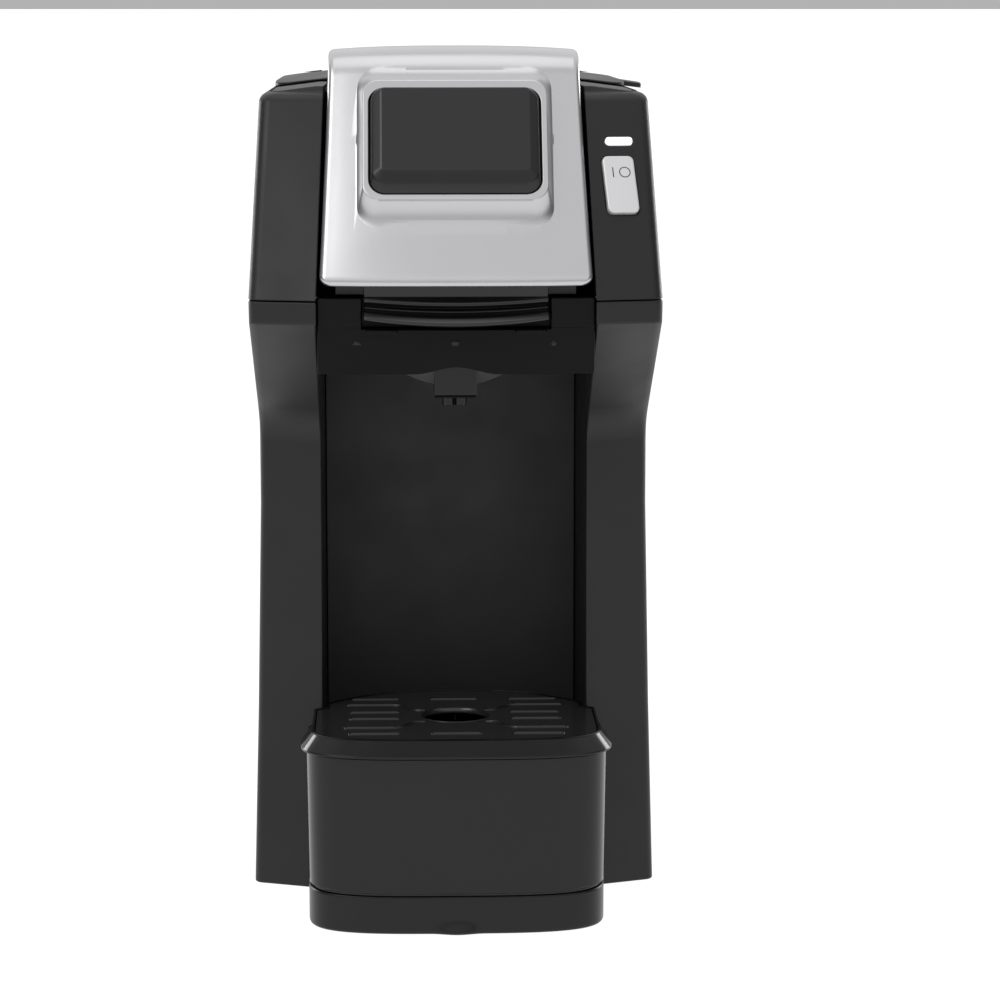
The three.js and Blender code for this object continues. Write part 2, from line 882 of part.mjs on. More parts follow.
// Cup rest, an open-topped drum with a recessed seam at its foot.
function cupRest() {
  const seamTopZ = restBottomZ + restSeamHeight;
  const bottom = (inset, z) =>
    level(restOutline(restBottomHalfWidth, restBottomFrontY, inset), z);
  const top = (inset, z) => level(restOutline(restTopHalfWidth, restTopFrontY, inset), z);
  const drum = loft([
    bottom(restSeamInset, restBottomZ),
    bottom(restSeamInset, seamTopZ),
    bottom(0, seamTopZ),
    top(0, restTopZ),
  ]);
  const hollow = loft([
    bottom(wall, restBottomZ + wall),
    top(wall, restTopZ),
    top(wall, restTopZ + overrun),
  ]);
  return drum.subtract(hollow);
}

// Drip tray: basin, rim and the grip band round its front half.
function dripTray() {
  const rimBottomZ = restTopZ + seatGap;
  const rim = (inset, z) => level(restOutline(trayHalfWidth, trayFrontY, inset), z);
  const basin = (inset, z) => level(restOutline(restBottomHalfWidth, restTopFrontY, inset), z);
  const basinInset = wall + slideGap;
  const bandLow = nose(bandHalfWidth, bandFrontY, restSideY);
  const bandHigh = nose(trayHalfWidth, trayFrontY, restSideY);
  const closeBand = (outline, x) => [
    ...outline,
    new THREE.Vector2(x, bandEndY),
    new THREE.Vector2(-x, bandEndY),
  ];
  const band = loft([
    level(closeBand(bandLow, bandHalfWidth), rimBottomZ),
    level(closeBand(bandLow, bandHalfWidth), bandBottomZ + seatGap),
    level(closeBand(bandHigh, trayHalfWidth), trayRimZ - seatGap),
  ]);
  const outer = joined(
    loft([rim(0, rimBottomZ), rim(0, trayRimZ)]),
    loft([basin(basinInset + wall, trayBasinZ), basin(basinInset, rimBottomZ + seatGap)]),
    band,
  );
  const ledgeZ = trayRimZ - grateThickness - seatGap;
  const well = loft([
    basin(basinInset + thinWall + wall, trayBasinZ + thinWall),
    basin(basinInset + thinWall, rimBottomZ),
  ]);
  const throat = loft([
    rim(grateRim + grateLedge, rimBottomZ - seatGap),
    rim(grateRim + grateLedge, trayRimZ),
  ]);
  const seat = loft([rim(grateRim, ledgeZ), rim(grateRim, trayRimZ + overrun)]);
  return cutBy(outer, well, throat, seat);
}

// Cutter for one slot along a line of points.
function slotCutter(points) {
  const half = slotWidth / 2;
  const edge = (side) =>
    points.map((point, i) => {
      const before = points[Math.max(i - 1, 0)];
      const after = points[Math.min(i + 1, points.length - 1)];
      const run = after.clone().sub(before).normalize().multiplyScalar(side * half);
      return new THREE.Vector2(point.x - run.y, point.y + run.x);
    });
  const outline = [...edge(1), ...edge(-1).reverse()];
  return prism(outline, trayRimZ - grateThickness - overrun, trayRimZ + overrun);
}

// Slots of the grate: straight ones in rows and bent ones that turn towards the hole.
function grateSlots() {
  const straight = (lowX, highX, y) =>
    slotCutter([new THREE.Vector2(lowX, y), new THREE.Vector2(highX, y)]);
  const bent = (side, [outerY, endY]) => {
    const curve = new THREE.CubicBezierCurve(
      new THREE.Vector2(side * bentKneeX, outerY),
      new THREE.Vector2(side * (bentKneeX + bentEndX) / 2, outerY),
      new THREE.Vector2(side * (bentKneeX + bentEndX) / 2, endY),
      new THREE.Vector2(side * bentEndX, endY),
    );
    return slotCutter([new THREE.Vector2(side * bentOuterX, outerY), ...curve.getPoints(arcSteps)]);
  };
  const slots = [slotBackY, slotFrontY].map((y) => straight(-slotMiddleX, slotMiddleX, y));
  for (const side of [-1, 1]) {
    for (const y of [slotBackY, ...slotSideYs, slotFrontY]) {
      slots.push(straight(side * slotInnerX, side * slotOuterX, y));
    }
    slots.push(bent(side, bentBackYs), bent(side, bentFrontYs));
  }
  return slots;
}

// Grate, a slotted plate with a round hole and a locating skirt under its edge.
function dripGrate() {
  const lowZ = trayRimZ - grateThickness;
  const outline = (inset, z) => level(restOutline(trayHalfWidth, trayFrontY, inset), z);
  const edge = grateRim + seatGap;
  const skirtEdge = grateRim + grateLedge + slideGap;
  const plate = loft([outline(edge, lowZ), outline(edge, trayRimZ)]);
  const skirt = cutBy(
    loft([outline(skirtEdge, lowZ - grateSkirtDepth), outline(skirtEdge, lowZ + seatGap)]),
    loft([
      outline(skirtEdge + thinWall, lowZ - grateSkirtDepth - overrun),
      outline(skirtEdge + thinWall, lowZ),
    ]),
  );
  const bevel = grateThickness / 2;
  const hole = turned(0, cupHoleY, [
    [0, lowZ - overrun],
    [cupHoleRadius, lowZ - overrun],
    [cupHoleRadius, trayRimZ - bevel],
    [cupHoleRadius + bevel, trayRimZ],
    [cupHoleRadius + bevel, trayRimZ + overrun],
    [0, trayRimZ + overrun],
  ]);
  return cutBy(plate.add(skirt), hole, ...grateSlots());
}

// Plan outline of the brew head with its crowned front, grown or inset.
function headOutline(inset, sideX = chamberHalfWidth - seatGap) {
  const halfWidth = sideX - inset;
  const backY = alcoveBackY - slideGap - inset;
  const front = Array.from({ length: arcSteps * 2 + 1 }, (_, i) => {
    const share = i / arcSteps - 1;
    const y = fasciaFrontY + fasciaCrown * share ** 2 + inset;
    return new THREE.Vector2(halfWidth * share, y);
  });
  return [...front, new THREE.Vector2(halfWidth, backY), new THREE.Vector2(-halfWidth, backY)];
}

// Brew head: fascia, deck, flank pads and the recess for the lift handle, open from below.
function brewHead() {
  const deckLowZ = brewHeadTopZ - wall - seatGap;
  const sideX = chamberHalfWidth - seatGap;
  const shell = cutBy(
    prism(headOutline(0), fasciaBottomZ, brewHeadTopZ),
    prism(headOutline(wall), fasciaBottomZ - overrun, deckLowZ),
  );
  const padLoop = headOutline(0).map((point) => point.setY(point.y - padDepth));
  const padSolid = prism(padLoop, padBottomZ, brewHeadTopZ);
  const padFront = padSolid.intersect(
    block(-sideX, sideX, headFrontY - overrun, handleRecessY, fasciaBottomZ, brewHeadTopZ),
  );
  const pads = cutBy(
    padFront,
    block(-padInnerX, padInnerX, headFrontY - overrun, rearY, fasciaBottomZ, seamZ + overrun),
    prism(headOutline(wall), fasciaBottomZ, deckLowZ),
  );
  const recessZ = padBottomZ - slideGap;
  const frontY = fasciaFrontY + fasciaCrown;
  const recessBack = block(
    -padInnerX - wall, padInnerX + wall, frontY, handleRecessY + wall,
    recessZ - wall, brewHeadTopZ,
  );
  const recess = block(
    -padInnerX, padInnerX, headFrontY - overrun, handleRecessY, recessZ, brewHeadTopZ + overrun,
  );
  const ledges = [-1, 1].map((side) => {
    const ends = [side * ledgeInnerX, side * ledgeOuterX];
    const ledgeY = fasciaFrontY - ledgeDepth;
    return block(
      Math.min(...ends), Math.max(...ends), ledgeY, frontY + seatGap,
      recessZ - ledgeHeight, recessZ,
    );
  });
  const archPoints = Array.from({ length: arcSteps * 2 + 1 }, (_, i) => {
    const share = i / arcSteps - 1;
    const rise = fasciaArch * Math.cos((share * pi) / 2) ** 2;
    return new THREE.Vector2(fasciaArchHalfWidth * share, fasciaBottomZ + rise);
  });
  archPoints.push(
    new THREE.Vector2(fasciaArchHalfWidth, fasciaBottomZ - overrun),
    new THREE.Vector2(-fasciaArchHalfWidth, fasciaBottomZ - overrun),
  );
  const archLoop = (y) => archPoints.map((point) => new THREE.Vector3(point.x, y, point.y));
  const arch = loft([archLoop(headFrontY - overrun), archLoop(frontY + wall + overrun)]);
  const mouth = post(
    0, brewY, deckLowZ - overrun, brewHeadTopZ + overrun, basketMouthRadius + slideGap,
  );
  return cutBy(joined(shell, pads, recessBack, ...ledges), recess, arch, mouth);
}

// Points of the basket's domed bottom, from a radius outwards, grown by a margin.
function domePoints(fromRadius, toRadius, margin) {
  const radius = basketDomeRadius + margin;
  const centreZ = basketBottomZ + basketDomeRadius;
  return Array.from({ length: arcSteps + 1 }, (_, i) => {
    const r = THREE.MathUtils.lerp(fromRadius, toRadius, i / arcSteps);
    return [r, centreZ - Math.sqrt(radius ** 2 - r ** 2)];
  });
}

// Brew basket, a domed bowl that hangs in the deck by its rim and drains at its centre.
function brewBasket() {
  const rimLowZ = brewHeadTopZ + seatGap;
  const rimTopZ = rimLowZ + basketRimThickness;
  const outer = domePoints(basketDrainRadius, basketKneeRadius, 0);
  const inner = domePoints(basketDrainRadius, basketKneeRadius - thinWall, -thinWall).reverse();
  return turned(0, brewY, [
    ...outer,
    [basketMouthRadius, rimLowZ],
    [basketRimRadius, rimLowZ],
    [basketRimRadius, rimTopZ],
    [basketMouthRadius - thinWall, rimTopZ],
    ...inner,
    outer[0],
  ]);
}

// Pod holder, a cup that stands in the basket by its own rim.
function podHolder() {
  const rimLowZ = brewHeadTopZ + 2 * seatGap + basketRimThickness;
  const rimTopZ = rimLowZ + basketRimThickness;
  const outerRadius = basketMouthRadius - thinWall - seatGap;
  const holderWall = outerRadius - holderMouthRadius;
  return turned(0, brewY, [
    [basketDrainRadius, holderBottomZ],
    [holderBaseRadius, holderBottomZ],
    [outerRadius, rimLowZ],
    [holderRimRadius, rimLowZ],
    [holderRimRadius, rimTopZ],
    [holderMouthRadius, rimTopZ],
    [holderBaseRadius - holderWall, holderBottomZ + thinWall],
    [basketDrainRadius, holderBottomZ + thinWall],
    [basketDrainRadius, holderBottomZ],
  ]);
}

// Hollow needle on a round base, its tip up or down.
function needle(x, y, baseZ, length, way) {
  const z = (distance) => baseZ + way * distance;
  const tip = needleRadius * 2;
  return turned(
    x, y,
    [
      [0, z(0)],
      [needleBaseRadius, z(0)],
      [needleBaseRadius, z(needleBaseHeight)],
      [needleRadius, z(needleBaseHeight)],
      [needleRadius, z(length - tip)],
      [0, z(length)],
    ],
    smallSides,
  );
}

function lowerNeedle() {
  const baseZ = holderBottomZ + thinWall + seatGap;
  return needle(lowerNeedleX, brewY, baseZ, lowerNeedleLength, 1);
}

function upperNeedle() {
  const baseZ = linerPocketTopZ - seatGap;
  return needle(0, brewY, baseZ, baseZ - upperNeedleTipZ, -1);
}

// Spout keel under the bowl, with two nozzles that meet the bowl's drain.
function spout() {
  const bowFront = keelFrontY + (keelTopZ - keelBottomZ) / 2;
  const keel = across(
    [
      [keelFrontY, keelTopZ],
      [keelFrontY, keelBottomZ + wall],
      [keelFrontY + wall, keelBottomZ + thinWall / 2],
      [bowFront, keelBottomZ],
      [keelBackY, keelBottomZ],
      [keelBackY, keelTopZ],
    ],
    -keelHalfWidth,
    keelHalfWidth,
  );
  const bowl = turned(0, brewY, [
    ...domePoints(0, basketKneeRadius, seatGap),
    [basketKneeRadius + wall, keelTopZ + overrun],
    [0, keelTopZ + overrun],
  ]);
  const xs = [-nozzleSpacing / 2, nozzleSpacing / 2];
  const nozzles = xs.map((x) =>
    post(x, brewY, nozzleBottomZ, keelBottomZ + seatGap, nozzleRadius, smallSides),
  );
  const bores = xs.map((x) =>
    post(x, brewY, nozzleBottomZ - overrun, keelTopZ, nozzleBore, smallSides),
  );
  return cutBy(joined(keel, ...nozzles), bowl, ...bores);
}

// Front of the shoulders at a height, at the chamber's edge.
function shoulderFrontY(z) {
  return headFrontY + lean * (z - seamZ);
}

// Half width of the chamber and of the shoulders at a height.
function chamberWidth(z) {
  return along(z, [seamZ, chamberHalfWidth], [deckZ, chamberTopHalfWidth]);
}

function shoulderWidth(z) {
  return along(z, [seamZ, headHalfWidth], [deckZ, deckHalfWidth]);
}

// How far the shoulder's face falls back at its outer edge.
function shoulderSetback(z) {
  return along(z, [seamZ, headSetback], [deckZ, deckSetback]);
}

// Plan outline of the shoulders at a height.
function shoulderLevel(z, inset) {
  const sideX = shoulderWidth(z) - inset;
  const frontY = shoulderFrontY(z) + inset;
  return level(
    rounded(
      mirrored([
        corner(chamberWidth(z), frontY),
        corner(sideX, frontY + shoulderSetback(z), shoulderEdge),
        corner(sideX, rearY - inset, rearRadius - inset),
      ]),
    ),
    z,
  );
}

// Straight-sided cutter for the chamber, grown by a wall.
function chamberSpace(grow) {
  const lowZ = seamZ - overrun;
  const topZ = deckZ + overrun;
  const loop = (z) => {
    const halfWidth = chamberWidth(z) + grow;
    return level(rectangle(-halfWidth, halfWidth, headFrontY - overrun, chamberRearY + grow), z);
  };
  return loft([loop(lowZ), loop(topZ)]);
}

// Outline of the tank's mouth, grown by a margin.
function tankOutline(grow) {
  return rectangle(
    -tankHalfWidth - grow, tankHalfWidth + grow, tankFrontY - grow, tankRearY + grow,
    tankCorner + grow,
  );
}

// Frame on the right shoulder's face, at a height on the controls' line.
function controlFrame(z) {
  const fall = shoulderSetback(z) / (shoulderWidth(z) - chamberWidth(z));
  const y = shoulderFrontY(z) + fall * (controlX - chamberWidth(z));
  const origin = new THREE.Vector3(controlX, y, z);
  return leaningFrame(origin, new THREE.Vector3(1, fall, 0), new THREE.Vector3(0, lean, 1));
}

// A rounded outline about the middle of a control.
function controlOutline(width, height, grow, radius) {
  const x = width / 2 + grow;
  const y = height / 2 + grow;
  return rectangle(-x, x, -y, y, radius);
}

// How far the deck has fallen at a place across it: flat behind the chamber, then sloping out.
function deckFall(x) {
  return Math.max(Math.abs(x) - deckFlatHalfWidth, 0) * deckFallShare;
}

// Space over the deck, whose underside follows its slopes.
function overDeck() {
  const reach = headHalfWidth + overrun;
  const edgeZ = deckZ - deckFall(reach);
  const topZ = deckZ + overrun;
  const section = [
    [-deckFlatHalfWidth, deckZ], [-reach, edgeZ], [-reach, topZ],
    [reach, topZ], [reach, edgeZ], [deckFlatHalfWidth, deckZ],
  ];
  const loop = (y) => section.map(([x, z]) => new THREE.Vector3(x, y, z));
  return loft([loop(headFrontY), loop(rearY + overrun)]);
}

// Upper housing: both shoulders, the chamber between them and the deck round the tank.
function upperHousing() {
  const bottomZ = seamZ + seamGap / 2;
  const outer = loft([
    shoulderLevel(bottomZ, 0),
    shoulderLevel(deckZ - deckEdge, 0),
    shoulderLevel(deckZ - deckEdge * rollShare, deckEdge * rollShare),
    shoulderLevel(deckZ, deckEdge),
  ]);
  const hollowTopZ = deckZ - deckThickness;
  const hollow = loft([
    shoulderLevel(seamZ - overrun, wall),
    shoulderLevel(hollowTopZ, wall),
  ]).subtract(chamberSpace(wall));
  const hingeBackY = tankHingeY - tankBarrelRadius - slideGap;
  const hingeLowZ = tankHingeZ - tankBarrelRadius - slideGap;
  const hingeX = tankBarrelHalfWidth + slideGap;
  const hingeFloor = block(
    -hingeX - wall, hingeX + wall, hingeBackY - wall, rearY - thinWall,
    hingeLowZ - thinWall, hollowTopZ + seatGap,
  );
  const hingeNotch = block(
    -hingeX, hingeX, hingeBackY, rearY + overrun, hingeLowZ, deckZ + overrun,
  );
  const hingeReach = hingeX + wall + seatGap;
  const hingeBore = crossRod(
    -hingeReach, hingeReach, tankHingeY, tankHingeZ, tankPinRadius + seatGap,
  );
  const flangeZ = deckZ - tankFlangeDrop - tankFlangeHeight - seatGap;
  const mouth = prism(tankOutline(slideGap), hollowTopZ - overrun, deckZ + overrun);
  const rebate = prism(tankOutline(tankFlange + seatGap), flangeZ, deckZ + overrun);
  const lidReach = chamberTopHalfWidth + wall + overrun;
  const lidBore = crossRod(-lidReach, lidReach, lidHingeY, lidHingeZ, lidPinRadius + seatGap);
  const deep = wall + overrun;
  const buttonFrame = controlFrame(buttonZ);
  const buttonHole = controlOutline(buttonWidth, buttonHeight, seatGap, buttonCorner);
  const lightFrame = controlFrame(lightZ);
  const lightHole = controlOutline(lightWidth, lightHeight, seatGap, lightHeight / 2);
  const outlet = deepRod(
    -outletX, chamberRearY - overrun, chamberRearY + wall + overrun, riserTopZ,
    hoseRadius + seatGap,
  );
  const headSpace = block(
    -chamberHalfWidth, chamberHalfWidth, headFrontY - overrun, alcoveBackY,
    seamZ - overrun, brewHeadTopZ + seatGap,
  );
  return cutBy(
    joined(cutBy(outer, hollow), hingeFloor, ...boardPosts()),
    overDeck(), chamberSpace(0), headSpace, mouth, rebate, hingeNotch, hingeBore, lidBore, outlet,
    standing(buttonFrame, [[buttonHole, -deep], [buttonHole, overrun]]),
    standing(lightFrame, [[lightHole, -deep], [lightHole, overrun]]),
  );
}

// Frame of the control board, halfway between the button and the light.
function boardFrame() {
  return controlFrame((buttonZ + lightZ) / 2);
}

// Posts inside the shoulder that carry the control board.
function boardPosts() {
  const reach = (boardLength / 2) - boardPostRadius;
  return [-reach, reach].map((y) => {
    const ring = Array.from({ length: smallSides }, (_, i) => {
      const angle = (2 * pi * i) / smallSides;
      const spoke = new THREE.Vector2(Math.cos(angle), Math.sin(angle));
      return spoke.multiplyScalar(boardPostRadius).add(new THREE.Vector2(0, y));
    });
    return standing(boardFrame(), [[ring, seatGap - boardDepth], [ring, -thinWall]]);
  });
}

function controlBoard() {
  const outline = controlOutline(boardWidth, boardLength, 0, boardPostRadius);
  return standing(boardFrame(), [
    [outline, -boardDepth - boardThickness],
    [outline, -boardDepth],
  ]);
}

// Push switch on the board, under the button's full travel.
function brewSwitch() {
  const outline = controlOutline(switchSize, switchSize, 0, boardPostRadius / 2);
  const plunger = controlOutline(switchSize / 2, switchSize / 2, 0, boardPostRadius / 2);
  const topOut = -buttonDepth - buttonTravel - seatGap;
  const frame = controlFrame(buttonZ);
  const bodyOut = topOut - plungerRise;
  const lowOut = seatGap - boardDepth;
  return joined(
    standing(frame, [[outline, lowOut + boardFall()], [outline, bodyOut]]),
    standing(frame, [[plunger, bodyOut - seatGap], [plunger, topOut]]),
  );
}

// How far the board's plane lies off the button's own plane.
function boardFall() {
  const button = new THREE.Vector3().setFromMatrixPosition(controlFrame(buttonZ));
  const local = button.applyMatrix4(boardFrame().invert());
  return Math.abs(local.z) + seatGap;
}

// Light pipe in the shoulder and the small lamp behind it.
function lightLens() {
  const outline = controlOutline(lightWidth, lightHeight, 0, lightHeight / 2 - seatGap);
  return standing(controlFrame(lightZ), [[outline, -lightDepth], [outline, lightProud]]);
}

function lightSource() {
  const outline = controlOutline(lightHeight, lightHeight, 0, lampCorner);
  const lowOut = 2 * seatGap - boardDepth + boardFall();
  return standing(controlFrame(lightZ), [[outline, lowOut], [outline, -lightDepth - seatGap]]);
}

// Brew button: a cap with soft edges and the flange that keeps it in the shoulder.
function brewButton() {
  const cap = (grow) => controlOutline(buttonWidth, buttonHeight, grow, buttonCorner + grow);
  const tabHeight = buttonHeight + 2 * buttonFlange;
  const flange = controlOutline(buttonWidth, tabHeight, 0, buttonCorner);
  const flangeOut = -wall - seatGap;
  const ease = buttonProud / 2;
  return joined(
    standing(controlFrame(buttonZ), [
      [cap(0), -buttonDepth],
      [cap(0), buttonProud - ease],
      [cap(-ease * rollShare), buttonProud - ease * rollShare],
      [cap(-ease), buttonProud],
    ]),
    standing(controlFrame(buttonZ), [[flange, -buttonDepth], [flange, flangeOut]]),
  );
}

// Centre line of the lid in side view: up the face, over the roll, down the roof to the hinge.
function lidPath() {
  const point = (y, z) => new THREE.Vector2(y, z);
  const foot = point(lidFrontY, lidBottomZ);
  const slope = point(sine, cosine);
  const faceEnd = foot.clone().addScaledVector(slope, lidFaceLength);
  const crest = foot.clone().addScaledVector(slope, lidFaceLength + lidRollLead);
  const roofEnd = point(lidHingeY, lidHingeZ + lidBarrelRadius);
  const roofRun = roofEnd.clone().sub(crest).normalize();
  const rollEnd = crest.clone().addScaledVector(roofRun, lidRoofLead);
  return { foot, slope, faceEnd, crest, roofEnd, roofRun, rollEnd };
}

// Stations along the lid's centre line, each with its place, inward way, narrowing and sink.
function lidStations(inset) {
  const { foot, slope, faceEnd, crest, roofEnd, roofRun, rollEnd } = lidPath();
  const inwardOf = (run) => new THREE.Vector2(run.y, -run.x);
  const rearward = new THREE.Vector2(1, 0);
  const station = (at, run, narrow, sink, turn = 1) => {
    const inward = rearward.clone().lerp(inwardOf(run), turn).normalize();
    return { at, inward, narrow, sink };
  };
  const stations = [];
  for (let i = 0; i <= arcSteps; i++) {
    const angle = (pi * i) / (2 * arcSteps);
    const rise = inset + lidBevel * (1 - Math.cos(angle));
    const left = 1 - Math.sin(angle);
    const at = foot.clone().addScaledVector(slope, rise);
    stations.push(station(at, slope, lidCorner * left, lidBevelFall * left, rise / lidTurnLength));
  }
  stations.push(station(foot.clone().addScaledVector(slope, lidTurnLength), slope, 0, 0));
  const roll = new THREE.QuadraticBezierCurve(faceEnd, crest, rollEnd);
  for (let i = 0; i <= lidRollSteps; i++) {
    const share = i / lidRollSteps;
    stations.push(station(roll.getPoint(share), roll.getTangent(share), 0, 0));
  }
  const past = inset ? overrun : 0;
  stations.push(station(roofEnd.clone().addScaledVector(roofRun, past), roofRun, 0, 0));
  return stations;
}

// Hood of the lid as a lofted solid, inset from its outside and as deep as asked.
function lidHood(inset, depth) {
  const loops = lidStations(inset).map(({ at, inward, narrow, sink }) => {
    const share = THREE.MathUtils.clamp((at.y - lidBottomZ) / (deckZ - lidBottomZ), 0, 1);
    const width = THREE.MathUtils.lerp(lidBottomHalfWidth, lidTopHalfWidth, share);
    const halfWidth = width - narrow - inset;
    const section = [[-halfWidth, depth + inset]];
    const flatX = halfWidth - lidEdge;
    for (let i = 0; i < arcSteps; i++) {
      const angle = (pi * i) / (2 * arcSteps);
      const fall = lidCrown + lidEdge * (1 - Math.sin(angle)) + sink + inset;
      section.push([-flatX - lidEdge * Math.cos(angle), fall]);
    }
    for (let i = 0; i <= lidAcrossSteps; i++) {
      const place = (2 * i) / lidAcrossSteps - 1;
      section.push([flatX * place, lidCrown * place ** 2 + sink + inset]);
    }
    const right = section.slice(0, arcSteps + 1).reverse();
    section.push(...right.map(([x, fall]) => [-x, fall]));
    return section.map(([x, fall]) => {
      const place = at.clone().addScaledVector(inward, fall);
      return new THREE.Vector3(x, place.x, place.y);
    });
  });
  return loft(loops);
}

// Frame on the lid's straight face, at a height.
function lidFaceFrame(z) {
  const y = lidFrontY + lean * (z - lidBottomZ);
  const right = new THREE.Vector3(1, 0, 0);
  return leaningFrame(new THREE.Vector3(0, y, z), right, new THREE.Vector3(0, lean, 1));
}

// Outline on the lid's face between two heights, measured from the frame at its middle.
function faceOutline(halfWidth, lowZ, highZ, side, top, low, radius) {
  const half = (highZ - lowZ) / (2 * cosine);
  return rectangle(-halfWidth + side, halfWidth - side, -half + low, half - top, radius);
}

// Raised boss on the lid's face, whose sides rise in a hollow sweep, broadest below.
function lidBoss() {
  const frame = lidFaceFrame((bossLowZ + bossHighZ) / 2);
  const outline = (share) =>
    faceOutline(
      bossHalfWidth, bossLowZ, bossHighZ, bossSideSlope * share, bossTopSlope * share,
      bossLowSlope * share, bossCorner - bossSideSlope * share,
    );
  return standing(frame, [
    [outline(0), seatGap - wall],
    [outline(0), 0],
    [outline(1 - rollShare), bossHeight * rollShare],
    [outline(1), bossHeight],
  ]);
}

// Outline of the plate in the boss, grown for its pocket or inset for its bevels.
function plateOutline(side, top, low, radius) {
  return faceOutline(plateHalfWidth, plateLowZ, plateHighZ, side, top, low, radius);
}

function plateFrame() {
  return lidFaceFrame((plateLowZ + plateHighZ) / 2);
}

// Bare plate set into the boss: its lower side is a steep wall with a broad bevel above it.
function badgePlate() {
  const floor = bossHeight - platePocket + seatGap;
  const top = floor + plateHeight;
  const rise = (plateWallHeight - plateSkirt) / (plateHeight - plateSkirt);
  const side = plateBevelSide * rise;
  return standing(plateFrame(), [
    [plateOutline(0, 0, 0, plateCorner), floor],
    [plateOutline(0, 0, 0, plateCorner), floor + plateSkirt],
    [plateOutline(side, plateBevelTop * rise, plateWallLow, plateCorner), floor + plateWallHeight],
    [plateOutline(plateBevelSide, plateBevelTop, plateBevelLow, plateCorner), top],
  ]);
}

// Lid shell: the hollow hood with its boss and the barrel of its hinge.
function lidShell() {
  const pocket = plateOutline(-seatGap, -seatGap, -seatGap, plateCorner + seatGap);
  const barrel = crossRod(
    -lidBarrelHalfWidth, lidBarrelHalfWidth, lidHingeY, lidHingeZ, lidBarrelRadius,
  );
  const bore = crossRod(
    -lidTopHalfWidth, lidTopHalfWidth, lidHingeY, lidHingeZ, lidPinRadius + seatGap,
  );
  const shell = cutBy(lidHood(0, lidSkirt), lidHood(wall, lidSkirt + overrun));
  return cutBy(
    joined(shell, lidBoss(), barrel),
    standing(plateFrame(), [
      [pocket, bossHeight - platePocket],
      [pocket, bossHeight + overrun],
    ]),
    bore,
  );
}

// Steel pin through the lid's barrel, held in both walls of the chamber.
function lidHingePin() {
  const reach = chamberTopHalfWidth + wall;
  return crossRod(-reach, reach, lidHingeY, lidHingeZ, lidPinRadius);
}

// Liner of the lid: fills the hood, closes its underside and leaves room for the pod's rim.
function lidLiner() {
  const hood = lidHood(wall + seatGap, lidSkirt);
  const { slope } = lidPath();
  const faceY = (z) => lidFrontY + lean * (z - lidBottomZ);
  const under = lidSkirt - wall;
  const roofZ = (y) => along(y, [lidHingeY, lidHingeZ + lidBarrelRadius],
    [lidPath().rollEnd.x, lidPath().rollEnd.y]);
  const rearZ = roofZ(linerRearY) - under;
  const frontZ = lidBottomZ + lidSkirt;
  const topY = lidPath().rollEnd.x;
  const shoulderZ = lidPath().faceEnd.y - under;
  const body = across(
    [
      [linerFrontY, linerBottomZ],
      [linerRearY, linerBottomZ],
      [linerRearY, rearZ],
      [topY, roofZ(topY) - under],
      [faceY(shoulderZ) + under, shoulderZ],
      [linerFrontY, frontZ],
    ],
    -linerHalfWidth,
    linerHalfWidth,
  );
  const trimmed = hood.intersect(
    block(-linerHalfWidth, linerHalfWidth, lidFrontY, linerRearY, lidBottomZ, lidRoofZ),
  );
  const pocket = prism(
    rectangle(
      -linerPocketHalfWidth, linerPocketHalfWidth, linerPocketFrontY, linerPocketRearY,
      linerPocketCorner,
    ),
    linerBottomZ - overrun,
    linerPocketTopZ,
  );
  return cutBy(joined(body, trimmed), pocket);
}

// Seal ring on the liner that presses on the pod.
function podSeal() {
  const topZ = linerPocketTopZ - seatGap;
  const lowZ = topZ - gasketHeight;
  const inner = gasketRadius - gasketWidth;
  return turned(0, brewY, [
    [inner, topZ],
    [inner, lowZ + gasketLip],
    [(inner + gasketRadius) / 2, lowZ],
    [gasketRadius, lowZ + gasketLip],
    [gasketRadius, topZ],
    [inner, topZ],
  ]);
}

// Lift handle: a slot, a ridge, a hollow face and a lip that bows forward and down.
function liftHandle() {
  const topZ = lidBottomZ - seatGap;
  const backY = handleWaistY + handleThickness;
  const ridgeZ = padBottomZ + (topZ - padBottomZ) * handleRidgeShare;
  const waistZ = handleLipZ + handleLipHeight + handleLipSag / 2;
  const stations = Array.from({ length: 2 * arcSteps + 1 }, (_, i) => i / arcSteps - 1);
  const loops = stations.map((place) => {
    const bow = 1 - place ** 2;
    const lipY = handleLipY + handleEndTurn * (1 - bow);
    const sag = handleLipSag * (1 - bow);
    const ridgeY = handleWaistY - handleThickness - handleLipSag * bow / 2;
    const slot = handleSlotHeight * bow;
    return [
      [backY, topZ],
      [handleWaistY, topZ],
      [handleWaistY, ridgeZ + handleSlotHeight],
      [ridgeY, ridgeZ + handleSlotHeight - slot],
      [ridgeY, ridgeZ - slot],
      [handleWaistY, ridgeZ - handleThickness / 2 - slot],
      [handleWaistY, waistZ + sag],
      [lipY + handleThickness / 2, handleLipZ + handleLipHeight + sag],
      [lipY, handleLipZ + handleLipHeight * handleRidgeShare + sag],
      [lipY + handleThickness / 2, handleLipZ + sag],
      [backY, handleLipZ + handleLipHeight / 2 + sag],
    ].map(([y, z]) => new THREE.Vector3(place * handleHalfWidth, y, z));
  });
  return loft(loops);
}

// Water tank, open above, with a hanging flange and an outlet below.
function waterTank() {
  const flangeTopZ = deckZ - tankFlangeDrop;
  const flangeLowZ = flangeTopZ - tankFlangeHeight;
  const tank = joined(
    prism(tankOutline(0), tankBottomZ, flangeTopZ),
    prism(tankOutline(tankFlange), flangeLowZ, flangeTopZ),
    post(outletX, outletY, tankBottomZ - outletLength, tankBottomZ + thinWall, outletRadius),
  );
  return cutBy(
    tank,
    prism(tankOutline(-thinWall), tankBottomZ + thinWall, deckZ + overrun),
    post(outletX, outletY, tankBottomZ - outletLength - overrun, deckZ, outletBore, smallSides),
  );
}

